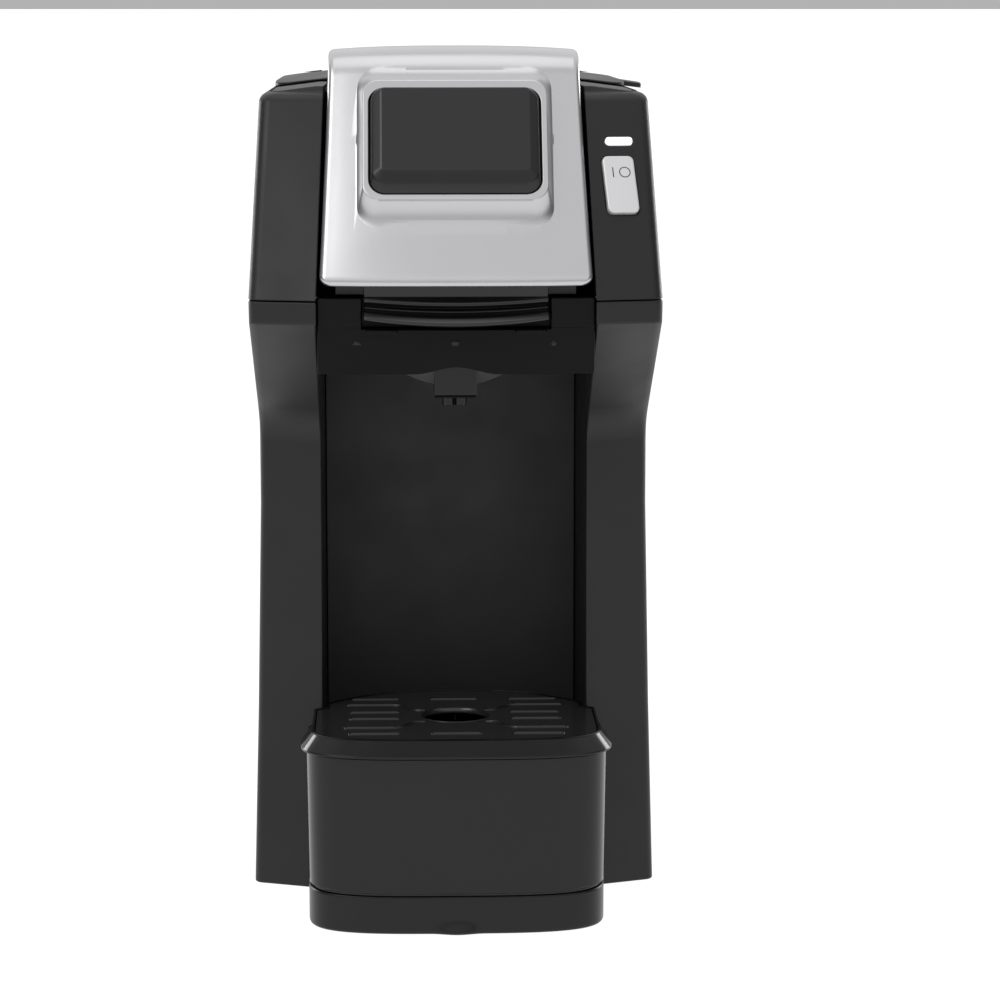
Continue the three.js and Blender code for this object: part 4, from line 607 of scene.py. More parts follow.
@dataclass
class Assembly:
    """A sub-assembly: its pieces, the bodies they ride on and the plain solids they stand for."""

    made: list[tuple[bpy.types.Object, Finish]] = field(default_factory=list, init=False)

    def take(self, piece: bpy.types.Object, body: str, nodes: Sequence[str], finish: Finish) -> None:
        """Seats a fine piece on its body.

        Args:
            piece: The piece, already in place.
            body: Body that carries it.
            nodes: Plain solids that it stands for, or none for a detail on a carried-over solid.
            finish: Its finish.
        """
        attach(piece, body)
        if nodes:
            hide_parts(*nodes)
        self.made.append((piece, finish))

    def build(self) -> None:
        """Makes the pieces."""

    def dress(self) -> None:
        """Gives each piece its finish."""
        for piece, finish in self.made:
            piece.data.materials.clear()
            piece.data.materials.append(finish.material())


@dataclass
class Head:
    """Sizes that the head, the shoulders and the lid share."""

    seam_z: float = 230.0
    seam_gap: float = 0.4
    front_y: float = -114.0
    deck_z: float = 304.5
    lean: float = math.tan(math.radians(29.4))
    half_width: float = 73.7
    deck_half_width: float = 70.4
    setback: float = 6.0
    deck_setback: float = 2.5
    chamber_half: float = 49.5
    chamber_top_half: float = 47.1
    chamber_rear_y: float = 3.5
    rear_y: float = 117.0
    rear_radius: float = 16.0
    wall: float = 2.4

    def share(self, z: float) -> float:
        """Returns how far up the head a height is."""
        return (z - self.seam_z) / (self.deck_z - self.seam_z)

    def shoulder_front(self, z: float) -> float:
        """Returns Y of the shoulders' front at the chamber's edge."""
        return self.front_y + self.lean * (z - self.seam_z)

    def chamber_width(self, z: float) -> float:
        """Returns half of the chamber's width at a height."""
        return blend(self.chamber_half, self.chamber_top_half, self.share(z))

    def shoulder_width(self, z: float) -> float:
        """Returns half of the head's width at a height."""
        return blend(self.half_width, self.deck_half_width, self.share(z))

    def shoulder_setback(self, z: float) -> float:
        """Returns how far the shoulder's face falls back at its outer edge."""
        return blend(self.setback, self.deck_setback, self.share(z))


@dataclass
class LowerHousing(Assembly):
    """Columns, sweep and rear wall in one moulding, with the panel at the alcove's back."""

    head: Head = field(default_factory=Head)
    bottom_z: float = 1.5
    column_front_y: float = -56.0
    column_setback: float = 10.0
    column_edge: float = 4.0
    sweep_low_z: float = 179.0
    sweep_high_z: float = 222.0
    sweep_ease: float = 7.0
    alcove_back_y: float = 21.0
    panel_thickness: float = 2.2
    widths: tuple[Point, ...] = ((1.5, 76.2), (71.0, 74.2), (148.0, 72.6), (179.0, 72.6), (230.0, 73.7))
    cover: tuple[float, float, float, float] = (54.0, 12.0, 220.0, 6.0)
    cover_rear_y: float = 122.0
    cover_seat_y: float = 110.0
    panel_low_z: float = 15.3
    panel_high_z: float = 216.0
    panel_corner: float = 1.5
    panel_gap: float = 0.3
    floor_z: float = 5.3
    floor_setback: float = 5.5
    floor_reach: float = 3.0

    def sweep(self, z: float) -> float:
        """Returns how far up the sweep a height is.

        Args:
            z: Height in mm.

        Returns:
            A share from 0 under the sweep to 1 at its top, eased at its start.
        """
        low = self.sweep_low_z - self.sweep_ease
        if z < low:
            return 0.0
        eased = (z - low) ** 2 / (4 * self.sweep_ease)
        climbed = eased if z < self.sweep_low_z + self.sweep_ease else z - self.sweep_low_z
        return min(climbed / (self.sweep_high_z - self.sweep_low_z), 1.0)

    def plan(self, z: float, inset: float) -> Loop:
        """Returns the housing's outline at a height, inset by a wall.

        Args:
            z: Height in mm.
            inset: Distance inward from the outside.

        Returns:
            A level loop of points.
        """
        share = self.sweep(z)
        front = blend(self.column_front_y, self.head.front_y, share) + inset
        setback = blend(self.column_setback, self.head.setback, share)
        side = table_value(z, self.widths) - inset
        corners = [
            Corner(self.head.chamber_half, front),
            Corner(side, front + setback, self.column_edge),
            Corner(side, self.head.rear_y - inset, self.head.rear_radius - inset),
        ]
        return level(rounded(mirrored(corners)), z)

    def body(self, inset: float, past: float) -> bpy.types.Object:
        """Makes the loft of the whole housing below the seam.

        Args:
            inset: Distance inward from the outside.
            past: How far the loft runs on beyond both ends.

        Returns:
            The loft.
        """
        top = self.head.seam_z - self.head.seam_gap / 2
        ease = self.sweep_ease
        bends = [self.sweep_low_z - ease + 2 * ease * i / 12 for i in range(13)]
        heights = [self.bottom_z, 36.0, 71.0, 110.0, 148.0, *bends, 200.0, self.sweep_high_z, top]
        loops = [self.plan(z, inset) for z in heights]
        if past:
            loops.insert(0, [v - Vector((0, 0, past)) for v in loops[0]])
            loops.append([v + Vector((0, 0, past)) for v in loops[-1]])
        return loft("lower_housing_skin", loops)

    def build(self) -> None:
        """Makes the moulding and the alcove's panel."""
        self.moulding()
        self.panel()

    def moulding(self) -> None:
        """Makes the hollow moulding with its alcove, its rear opening and its open bottom."""
        half, wall = self.head.chamber_half, self.head.wall
        back = self.alcove_back_y + self.panel_thickness + self.panel_gap
        hollow = self.body(wall, 2.0)
        inner = block("inner", (-half - wall, -120, -10), (half + wall, back + wall, 260))
        combine(hollow, [inner], Joining.CUT)
        alcove = block("alcove", (-half, -125, -5), (half, back, 240))
        wide, low, high, radius = self.cover
        outline = rectangle(-wide, wide, low, high, radius)
        opening = loft("opening", [upright(outline, y) for y in (self.cover_seat_y, self.cover_rear_y)])
        reach = half + wall + self.floor_reach
        near, far = self.column_front_y + self.floor_setback, back + wall + self.floor_reach
        floor = block("floor", (-reach, near, -5.0), (reach, far, self.floor_z))
        shell = combine(self.body(0.0, 0.0), [hollow, alcove, opening, floor], Joining.CUT)
        ease_edges(shell, 0.7, 3, 40)
        self.take(shell, "housing", ["lower_housing"], SATIN_BLACK)

    def panel(self) -> None:
        """Makes the dark panel at the alcove's back."""
        edge = self.head.chamber_half - self.panel_gap
        outline = rectangle(-edge, edge, self.panel_low_z, self.panel_high_z, self.panel_corner)
        rear_y = self.alcove_back_y + self.panel_thickness
        panel = loft("alcove_panel_skin", [upright(outline, y) for y in (self.alcove_back_y, rear_y)])
        ease_edges(panel, 0.4)
        self.take(panel, "housing", ["alcove_panel"], PANEL_BLACK)


@dataclass
class Controls:
    """Places and sizes of the brew button and the light on the right shoulder."""

    x: float = 59.3
    button_z: float = 269.5
    button_width: float = 11.6
    button_height: float = 22.6
    button_corner: float = 2.2
    button_proud: float = 1.4
    button_depth: float = 5.4
    light_z: float = 285.1
    light_width: float = 9.8
    light_height: float = 2.9

    def frame(self, head: Head, z: float) -> Matrix:
        """Returns the frame on the right shoulder's face at a height.

        Args:
            head: Sizes of the head.
            z: Height of the place.

        Returns:
            A frame with Z out of the face.
        """
        fall = head.shoulder_setback(z) / (head.shoulder_width(z) - head.chamber_width(z))
        y = head.shoulder_front(z) + fall * (self.x - head.chamber_width(z))
        return leaning_frame(Vector((self.x, y, z)), Vector((1, fall, 0)), Vector((0, head.lean, 1)))

    @staticmethod
    def outline(width: float, height: float, grow: float, radius: float) -> list[Point]:
        """Returns a rounded outline about the middle of a control."""
        x, y = width / 2 + grow, height / 2 + grow
        return rectangle(-x, x, -y, y, max(radius + grow, 0.05))


@dataclass
class UpperHousing(Assembly):
    """Both shoulders, the chamber between them and the deck round the tank."""

    head: Head = field(default_factory=Head)
    controls: Controls = field(default_factory=Controls)
    edge: float = 5.0
    deck_edge: float = 3.5
    deck_thickness: float = 6.0
    brow_fall: float = 2.2
    deck_flat: float = 50.0
    deck_fall: float = 0.1275
    tank: tuple[float, float, float, float] = (60.0, 44.0, 102.0, 9.0)
    tank_flange: float = 3.0
    hinge_y: float = 109.0
    hinge_z: float = 302.4
    hinge_radius: float = 3.4
    hinge_half: float = 52.0
    clearance: float = 0.6
    notch_floor: float = 1.8
    pin_radius: float = 1.8
    pin_depth: float = 2.7
    lid_hinge: Point = (-3.0, 300.5)
    lid_bore: Point = (51.5, 2.3)
    flange_seat: float = 4.1
    hole_gap: float = 0.3
    hole_depth: float = 4.4

    def plan(self, z: float, inset: float) -> Loop:
        """Returns the shoulders' outline at a height, inset by a wall or an edge.

        Args:
            z: Height in mm.
            inset: Distance inward from the outside.

        Returns:
            A level loop of points.
        """
        head = self.head
        side = head.shoulder_width(z) - inset
        front = head.shoulder_front(z) + inset
        corners = [
            Corner(head.chamber_width(z), front),
            Corner(side, front + head.shoulder_setback(z), self.edge),
            Corner(side, head.rear_y - inset, head.rear_radius - inset),
        ]
        return level(rounded(mirrored(corners)), z)

    def mouth(self, grow: float, low: float, high: float) -> bpy.types.Object:
        """Makes a cutter on the tank's outline.

        Args:
            grow: Distance outward from that outline.
            low: Lowest Z.
            high: Highest Z.

        Returns:
            The cutter.
        """
        wide, front, rear, radius = self.tank
        outline = rectangle(-wide - grow, wide + grow, front - grow, rear + grow, radius + grow)
        return prism("mouth", outline, low, high)

    def chamber(self, grow: float) -> bpy.types.Object:
        """Makes the straight-sided cutter for the chamber, grown by a wall.

        Args:
            grow: Distance outward from the chamber's sides.

        Returns:
            The cutter.
        """
        head = self.head
        loops = []
        for z in (head.seam_z - 2, head.deck_z + 2):
            half = head.chamber_width(z) + grow
            loops.append(level(rectangle(-half, half, head.front_y - 6, head.chamber_rear_y + grow), z))
        return loft("chamber", loops)

    def over_deck(self) -> bpy.types.Object:
        """Makes the cutter over the deck, which slopes out beyond the chamber.

        Returns:
            The cutter.
        """
        deck, reach = self.head.deck_z, 78.0
        edge = deck - (reach - self.deck_flat) * self.deck_fall
        section = [
            (-self.deck_flat, deck), (-reach, edge), (-reach, deck + 4),
            (reach, deck + 4), (reach, edge), (self.deck_flat, deck),
        ]
        return loft("over_deck", [[Vector((x, y, z)) for x, z in section] for y in (-116.0, 121.0)])

    def build(self) -> None:
        """Makes the shoulders' shell with its openings."""
        head, wall, deck = self.head, self.head.wall, self.head.deck_z
        low = head.seam_z + head.seam_gap / 2
        brow = deck - self.brow_fall
        heights = [blend(low, brow - self.deck_edge, i / 6) for i in range(7)]
        loops = [self.plan(z, 0.0) for z in heights]
        for left, risen in quarter_turn(6)[1:]:
            loops.append(self.plan(brow - self.deck_edge * left, self.deck_edge * risen))
        loops.append(self.plan(deck, self.deck_edge + 0.3))
        under = deck - self.deck_thickness
        hollow = loft("hollow", [self.plan(head.seam_z - 2, wall), self.plan(under, wall)])
        combine(hollow, [self.chamber(wall)], Joining.CUT)
        reach = self.hinge_half + self.clearance
        notch_y = self.hinge_y - self.hinge_radius - self.clearance
        notch_z = self.hinge_z - self.hinge_radius - self.clearance
        floor_low = (-reach - wall, notch_y - wall, notch_z - self.notch_floor)
        floor = block("floor", floor_low, (reach + wall, 115.2, under + 0.3))
        notch = block("notch", (-reach, notch_y, notch_z), (reach, 125.0, deck + 2))
        head_space = block("head_space", (-head.chamber_half, -122, 228), (head.chamber_half, 21.0, 231.3))
        shell = combine(loft("upper_housing_skin", loops), [hollow], Joining.CUT)
        combine(shell, [floor], Joining.ADD)
        bore_x = reach + self.pin_depth
        pin_bore = cross_rod("pin_bore", -bore_x, bore_x, self.hinge_y, self.hinge_z, self.pin_radius)
        lid_x, lid_radius = self.lid_bore
        lid_bore = cross_rod("lid_bore", -lid_x, lid_x, *self.lid_hinge, lid_radius)
        mouth = self.mouth(self.clearance, under - 2, deck + 2)
        cutters = [self.chamber(0.0), head_space, mouth, notch, pin_bore, lid_bore]
        cutters.append(self.mouth(self.tank_flange + self.hole_gap, deck - self.flange_seat, deck + 2))
        cutters.append(self.over_deck())
        cutters += self.control_holes()
        combine(shell, cutters, Joining.CUT)
        ease_edges(shell, 0.5, 3, 40)
        self.take(shell, "housing", ["upper_housing"], SATIN_BLACK)

    def control_holes(self) -> list[bpy.types.Object]:
        """Makes the cutters for the button and the light bar.

        Returns:
            Both cutters.
        """
        c, gap = self.controls, self.hole_gap
        button = c.outline(c.button_width, c.button_height, gap, c.button_corner)
        light = c.outline(c.light_width, c.light_height, gap, c.light_height / 2 - 0.01)
        cutters = []
        for name, outline, z in (("button_hole", button, c.button_z), ("light_hole", light, c.light_z)):
            layers = [(outline, -self.hole_depth), (outline, 2.0)]
            cutters.append(standing(name, c.frame(self.head, z), layers))
        return cutters


@dataclass
class ControlSet(Assembly):
    """Brew button and light bar on the right shoulder."""

    head: Head = field(default_factory=Head)
    controls: Controls = field(default_factory=Controls)
    bar_layers: Point = (-4.6, 0.3)
    ring_centre: Point = (1.9, 4.6)
    ring_radii: Point = (1.75, 2.1)
    mark_bar: tuple[float, float, float, float, float] = (-2.6, -2.22, 2.6, 6.6, 0.15)
    mark_depth: float = 0.3
    mark_rise: float = 0.03

    def build(self) -> None:
        """Makes the button's cap with its plain power mark, and the light bar."""
        c = self.controls
        frame = c.frame(self.head, c.button_z)
        ease = c.button_proud / 2
        layers = [(c.outline(c.button_width, c.button_height, 0, c.button_corner), -c.button_depth)]
        for left, risen in quarter_turn(5):
            outline = c.outline(c.button_width, c.button_height, -ease * risen, c.button_corner)
            layers.append((outline, c.button_proud - ease * left))
        cap = standing("brew_button_cap", frame, layers)
        self.take(cap, "button", ["brew_button"], BUTTON_SILVER)
        self.power_mark(frame)
        light = c.outline(c.light_width, c.light_height, 0, c.light_height / 2 - 0.31)
        bar = standing("light_bar", c.frame(self.head, c.light_z), [(light, out) for out in self.bar_layers])
        ease_edges(bar, 0.25, 3, 50)
        self.take(bar, "housing", ["light_lens"], LAMP)

    def power_mark(self, frame: Matrix) -> None:
        """Prints a plain bar-and-ring power mark on the cap.

        Args:
            frame: Frame on the cap's place, out of the shoulder.
        """
        out = self.controls.button_proud
        centre = Vector((*self.ring_centre, out))
        inner, outer = self.ring_radii
        low, high = -self.mark_depth, self.mark_rise
        ring = [(inner, low), (outer, low), (outer, high), (inner, high)]
        loops = []
        for i in range(48):
            angle = 2 * math.pi * i / 48
            spoke = Vector((math.cos(angle), math.sin(angle), 0))
            loops.append([frame @ (centre + spoke * r + Vector((0, 0, lift))) for r, lift in ring])
        mark = loft("power_ring", loops, closed=True)
        bar = rectangle(*self.mark_bar)
        stem = standing("power_bar", frame, [(bar, out - self.mark_depth), (bar, out + self.mark_rise)])
        for piece in (mark, stem):
            self.take(piece, "button", [], INNER_BLACK)


@dataclass
class BrewHead(Assembly):
    """Fascia over the mug space, with its flank pads, embossed marks, basket and spout."""

    head: Head = field(default_factory=Head)
    top_z: float = 231.0
    bottom_z: float = 204.0
    front_y: float = -112.0
    crown: float = 2.0
    arch: float = 2.5
    arch_half: float = 15.0
    pad_inner_x: float = 33.6
    pad_low_z: float = 220.6
    recess_y: float = -103.4
    brew_y: float = -70.0
    dome_radius: float = 38.0
    bowl_low_z: float = 195.3
    side_gap: float = 0.3
    back_y: float = 20.4
    ledge: tuple[float, float] = (11.0, 1.6)
    ledge_places: Point = (-32.0, 21.0)
    mouth_radius: float = 28.6
    mark_z: float = 214.4
    mark_places: tuple[float, float, float] = (-35.2, -0.4, 34.6)
    mark_depths: Point = (0.4, -0.18)
    keel_half: float = 7.6
    nozzle_x: float = 2.25
    nozzle_radius: float = 2.2
    bore_radius: float = 1.3

    def plan(self, inset: float) -> list[Point]:
        """Returns the fascia's outline with its crowned front.

        Args:
            inset: Distance inward from the outside.

        Returns:
            Points in plan.
        """
        half = self.head.chamber_half - self.side_gap - inset
        back = self.back_y - inset
        front = [(half * s, self.front_y + self.crown * s * s + inset) for s in centred(24)]
        return [*front, (half, back), (-half, back)]

    def build(self) -> None:
        """Makes the fascia, the marks, the basket's bowl and the spout."""
        self.fascia()
        self.marks()
        self.bowl()
        self.spout()

    def fascia(self) -> None:
        """Makes the hollow fascia with flank pads, handle recess, ledges and lower arch."""
        wall, top = self.head.wall, self.top_z
        deck_low = top - wall - 0.3
        shell = prism("brew_head_skin", self.plan(0), self.bottom_z, top)
        pads = prism("pads", [(x, y - 1.0) for x, y in self.plan(0)], self.pad_low_z, top)
        combine(pads, [block("front", (-49.2, -116, 200), (49.2, self.recess_y, 240))], Joining.KEEP)
        middle = block("middle", (-self.pad_inner_x, -116, 200), (self.pad_inner_x, 117, 240))
        combine(pads, [middle], Joining.CUT)
        recess_z = self.pad_low_z - 0.6
        width, proud = self.ledge
        ledges = []
        for x in self.ledge_places:
            low = (x, self.front_y - proud, recess_z - proud)
            ledges.append(block("ledge", low, (x + width, -109.0, recess_z)))
        combine(shell, [pads, *ledges], Joining.ADD)
        inner = prism("inner", self.plan(wall), self.bottom_z - 2, deck_low)
        wide = self.pad_inner_x + wall
        keep = block("keep", (-wide, -112, recess_z - wall), (wide, self.recess_y + wall, 240))
        combine(inner, [keep], Joining.CUT)
        recess = block("recess", (-self.pad_inner_x, -117, recess_z), (self.pad_inner_x, self.recess_y, 240))
        points = []
        for s in centred(20):
            points.append((self.arch_half * s, self.bottom_z + self.arch * math.cos(s * math.pi / 2) ** 2))
        points += [(self.arch_half, self.bottom_z - 3), (-self.arch_half, self.bottom_z - 3)]
        arch = loft("arch", [upright(points, y) for y in (-117.0, -105.0)])
        mouth = post("mouth", 0, self.brew_y, deck_low - 4, top + 2, self.mouth_radius)
        combine(shell, [inner, recess, arch, mouth], Joining.CUT)
        ease_edges(shell, 0.45, 3, 40)
        # The fascia's finish is satin black darkened as painted shade.
        self.take(shell, "housing", ["brew_head"], FASCIA_PAINTED_SHADE_BLACK)

    def marks(self) -> None:
        """Raises three small generic marks on the fascia: a lid, a cup and a drop."""
        lid = [(-1.6, 0.0), (1.6, 0.0), (1.6, 0.55), (0.5, 1.5), (-0.5, 1.5), (-1.6, 0.55)]
        cup = [(-1.2, -0.2), (1.2, -0.2), (1.7, 1.8), (-1.7, 1.8)]
        drop = []
        for i in range(24):
            angle = math.pi * i / 12
            tip = 0.9 if i == 12 else 0.0
            drop.append((math.sin(angle), 0.5 - math.cos(angle) + tip))
        names = ("mark_lid", "mark_cup", "mark_drop")
        for name, x, outline in zip(names, self.mark_places, (lid, cup, drop)):
            share = x / (self.head.chamber_half - self.side_gap)
            y = self.front_y + self.crown * share * share
            form = [(x + across, self.mark_z + up) for across, up in outline]
            piece = loft(name, [upright(form, y + depth) for depth in self.mark_depths])
            self.take(piece, "housing", [], SATIN_BLACK)

    def dome(self, start: float, end: float, margin: float) -> list[Point]:
        """Returns points of the bowl's domed bottom.

        Args:
            start: Radius of the first point.
            end: Radius of the last point.
            margin: How far outside the bowl's own surface the points lie.

        Returns:
            Points of radius and height.
        """
        radius, centre = self.dome_radius + margin, self.bowl_low_z + self.dome_radius
        points = []
        for i in range(17):
            r = blend(start, end, i / 16)
            points.append((r, centre - math.sqrt(radius * radius - r * r)))
        return points

    def bowl(self) -> None:
        """Makes the grey basket bowl and the pod holder in it."""
        outer = self.dome(3.0, 24.0, 0.0)
        inner = list(reversed(self.dome(3.0, 22.2, -1.8)))
        rim = [
            (28.0, 231.3), (30.7, 231.3), (31.0, 231.6), (31.0, 233.0),
            (30.7, 233.3), (26.5, 233.3), (26.2, 233.0),
        ]
        bowl = turned("brew_bowl", 0, self.brew_y, [*outer, *rim, *inner])
        ease_edges(bowl, 0.3, 2, 40)
        self.take(bowl, "housing", ["brew_basket"], GREY)
        cup = [
            (3.0, 203.0), (18.0, 203.0), (18.5, 203.4), (25.9, 233.6), (28.2, 233.6),
            (28.5, 233.9), (28.5, 235.3), (28.2, 235.6), (24.3, 235.6), (24.0, 235.2),
            (16.6, 204.9), (16.2, 204.8), (3.0, 204.8),
        ]
        holder = turned("pod_cup", 0, self.brew_y, cup)
        ease_edges(holder, 0.2, 2, 40)
        self.take(holder, "housing", ["pod_holder"], INNER_BLACK)

    def spout(self) -> None:
        """Makes the black keel under the bowl with its two nozzles."""
        side = [
            (-97.0, 206.0), (-97.0, 195.4), (-96.3, 194.5), (-94.6, 193.9),
            (-90.5, 193.0), (-60.0, 193.0), (-60.0, 206.0),
        ]
        ends = (-self.keel_half, self.keel_half)
        keel = loft("spout_keel", [[Vector((x, y, z)) for y, z in side] for x in ends])
        places = (-self.nozzle_x, self.nozzle_x)
        tubes = [post("tube", x, self.brew_y, 187.9, 193.3, self.nozzle_radius) for x in places]
        combine(keel, tubes, Joining.ADD)
        cutter = turned("cutter", 0, self.brew_y, [*self.dome(0.01, 24.0, 0.3), (26.4, 208.0), (0.01, 208.0)])
        bores = [post("bore", x, self.brew_y, 185.0, 207.0, self.bore_radius) for x in places]
        combine(keel, [cutter, *bores], Joining.CUT)
        ease_edges(keel, 0.5, 3, 40)
        self.take(keel, "housing", ["spout"], GLOSS_BLACK)


@dataclass
class BrewLid(Assembly):
    """Silver hood with its boss, the bare badge plate, the handle and the liner under it."""

    head: Head = field(default_factory=Head)
    bottom_z: float = 235.3
    front_y: float = -118.6
    bottom_half: float = 48.4
    top_half: float = 45.5
    crown: float = 2.8
    swell: float = 2.6
    edge: float = 2.3
    bevel: float = 5.0
    bevel_fall: float = 3.0
    corner: float = 4.5
    skirt: float = 10.0
    face_length: float = 85.0
    roll_lead: float = 16.5
    roof_lead: float = 26.0
    turn_length: float = 20.0
    hinge_y: float = -3.0
    hinge_z: float = 300.5
    barrel_radius: float = 4.4
    lean_angle: float = 29.4
    bore_radius: float = 2.3
    roof_crown: tuple[float, float, float] = (0.45, -88.0, 26.0)
    boss: tuple[float, float, float] = (35.2, 254.7, 312.6)
    boss_height: float = 4.2
    boss_power: float = 1.9
    boss_insets: tuple[float, float, float] = (2.2, 8.8, 10.4)
    boss_corners: Point = (9.0, 3.2)
    plate: tuple[float, float, float] = (30.5, 265.7, 301.9)
    plate_gap: float = 0.3
    handle_half: float = 32.7
    handle_low_z: float = 220.6
    handle_back_y: float = -105.6
    handle_waist_y: float = -108.2
    handle_gap: float = 0.3
    ridge_share: float = 0.62
    ridge_out: float = 2.6
    lip_y: float = -119.4
    lip_bow: float = 4.0
    lip_sag: float = 2.0
    slot_bow: float = 1.6

    def path(self) -> dict[str, Vector]:
        """Returns the key points of the lid's centre line, as Y and Z.

        Returns:
            Points and directions by name, from the foot to the end of the roof.
        """
        angle = math.radians(self.lean_angle)
        foot = Vector((self.front_y, self.bottom_z))
        slope = Vector((math.sin(angle), math.cos(angle)))
        crest = foot + slope * (self.face_length + self.roll_lead)
        roof_end = Vector((self.hinge_y, self.hinge_z + self.barrel_radius))
        run = (roof_end - crest).normalized()
        face_end = foot + slope * self.face_length
        return {
            "foot": foot, "slope": slope, "crest": crest, "roof_end": roof_end, "run": run,
            "face_end": face_end, "roll_end": crest + run * self.roof_lead,
        }

    def stations(self, inset: float) -> list[tuple[Vector, Vector, float, float]]:
        """Returns places along the centre line.

        Args:
            inset: Thickness taken off the lower edge, 0 for the outside.

        Returns:
            Places with their inward direction, narrowing and sink.
        """
        p = self.path()
        found = []

        def station(at: Vector, run: Vector, narrow: float, sink: float, turn: float = 1.0) -> None:
            inward = Vector((1.0, 0.0)).lerp(Vector((run.y, -run.x)), turn).normalized()
            found.append((at, inward, narrow, sink))

        for i in range(ARC_STEPS + 1):
            angle = math.pi * i / (2 * ARC_STEPS)
            rise = inset + self.bevel * (1 - math.cos(angle))
            left = 1 - math.sin(angle)
            at = p["foot"] + p["slope"] * rise
            station(at, p["slope"], self.corner * left, self.bevel_fall * left, rise / self.turn_length)
        for reach in (12.0, self.turn_length, 40.0, 60.0):
            turn = min(reach / self.turn_length, 1.0)
            station(p["foot"] + p["slope"] * reach, p["slope"], 0, 0, turn)
        for i in range(25):
            s = i / 24
            a, b, c = p["face_end"], p["crest"], p["roll_end"]
            at = a * (1 - s) ** 2 + b * (2 * s * (1 - s)) + c * s * s
            tangent = ((b - a) * (1 - s) + (c - b) * s).normalized()
            station(at, tangent, 0, 0)
        past = 2.0 if inset else 0.0
        station(p["roof_end"] + p["run"] * past, p["run"], 0, 0)
        return found

    def rise(self, y: float) -> float:
        """Returns the crown at a place, which flattens over the roof."""
        least, start, length = self.roof_crown
        return self.crown * blend(1.0, least, min(max((y - start) / length, 0.0), 1.0))

    def hood(self, inset: float, depth: float) -> bpy.types.Object:
        """Makes the hood as a loft.

        Args:
            inset: Distance from the outside, 0 for the outside itself.
            depth: How far its sides reach inward.

        Returns:
            The loft, from the foot over the roof to the hinge.
        """
        loops = []
        for at, inward, narrow, sink in self.stations(inset):
            share = min(max((at.y - self.bottom_z) / (self.head.deck_z - self.bottom_z), 0.0), 1.0)
            half = blend(self.bottom_half, self.top_half, share) - narrow - inset
            flat = half - self.edge
            crown = self.rise(at.x)
            left = [(-half, depth + inset)]
            for i in range(ARC_STEPS):
                angle = math.pi * i / (2 * ARC_STEPS)
                fall = crown + self.edge * (1 - math.sin(angle)) + sink + inset
                left.append((-flat - self.edge * math.cos(angle), fall))
            middle = [(flat * s, crown * abs(s) ** self.swell + sink + inset) for s in centred(20)]
            right = [(-x, fall) for x, fall in reversed(left)]
            section = [*left, *middle, *right]
            loops.append([Vector((x, *(at + inward * fall))) for x, fall in section])
        return loft("lid_hood", loops)

    def face_frame(self, z: float) -> Matrix:
        """Returns the frame on the lid's straight face at a height."""
        y = self.front_y + self.head.lean * (z - self.bottom_z)
        return leaning_frame(Vector((0, y, z)), Vector((1, 0, 0)), Vector((0, self.head.lean, 1)))

    @staticmethod
    def face_outline(
        form: tuple[float, float, float], side: float, top: float, low: float, radius: float
    ) -> list[Point]:
        """Returns a rounded outline on the lid's face.

        Args:
            form: Half width, lowest and highest Z.
            side: Inset at both sides.
            top: Inset at the top.
            low: Inset at the bottom.
            radius: Radius of the corners.

        Returns:
            Points in the plane of the face.
        """
        wide, low_z, high_z = form
        half = (high_z - low_z) / (2 * math.cos(math.radians(BrewLid.lean_angle)))
        return rectangle(-wide + side, wide - side, -half + low, half - top, radius)

    def face_fall(self, x: float, z: float) -> float:
        """Returns how far the crowned face lies under its middle.

        Args:
            x: Place across the face.
            z: Height of the place.

        Returns:
            The depth, with the roll at the top included.
        """
        share = min(max((z - self.bottom_z) / (self.head.deck_z - self.bottom_z), 0.0), 1.0)
        flat = blend(self.bottom_half, self.top_half, share) - self.edge
        p = self.path()
        past = max((z - p["face_end"].y) / p["slope"].y, 0.0)
        inward = Vector((p["slope"].y, -p["slope"].x))
        roll = (p["roll_end"] - p["face_end"]).dot(inward) * (past / (2 * self.roll_lead)) ** 2
        y = self.front_y + self.head.lean * (z - self.bottom_z)
        return self.rise(y) * abs(x / flat) ** self.swell + roll

    def build(self) -> None:
        """Makes the hood, the plate, the handle, the liner and the seal."""
        self.shell()
        self.badge()
        self.handle()
        self.liner()

    def shell(self) -> None:
        """Makes the hollow hood with its scooped boss and the hinge barrel."""
        wall = self.head.wall
        shell = combine(self.hood(0.0, self.skirt), [self.hood(wall, self.skirt + 2)], Joining.CUT)
        frame = self.face_frame((self.boss[1] + self.boss[2]) / 2)
        outward = frame.to_3x3() @ Vector((0, 0, 1))
        heights = [(0.0, -1.8)]
        heights += [(i / 10, self.boss_height * (i / 10) ** self.boss_power - 0.15) for i in range(11)]
        radius, eased = self.boss_corners
        loops = []
        for share, out in heights:
            side, top, low = (inset * share for inset in self.boss_insets)
            outline = self.face_outline(self.boss, side, top, low, radius - eased * share)
            seats = [frame @ Vector((x, y, out)) for x, y in outline]
            loops.append([seat - outward * self.face_fall(seat.x, seat.z) * (1 - share) for seat in seats])
        boss = loft("boss", loops)
        barrel = cross_rod("barrel", -43.5, 43.5, self.hinge_y, self.hinge_z, self.barrel_radius)
        combine(shell, [boss, barrel], Joining.ADD)
        frame = self.face_frame((self.plate[1] + self.plate[2]) / 2)
        gap = -self.plate_gap
        pocket = self.face_outline(self.plate, gap, gap, gap, 5.8)
        cutters = [standing("pocket", frame, [(pocket, 1.6), (pocket, 6.0)])]
        cutters.append(cross_rod("bore", -46.0, 46.0, self.hinge_y, self.hinge_z, self.bore_radius))
        combine(shell, cutters, Joining.CUT)
        ease_edges(shell, 0.45, 3, 40)
        self.take(shell, "brew_lid", ["lid_shell"], SILVER)

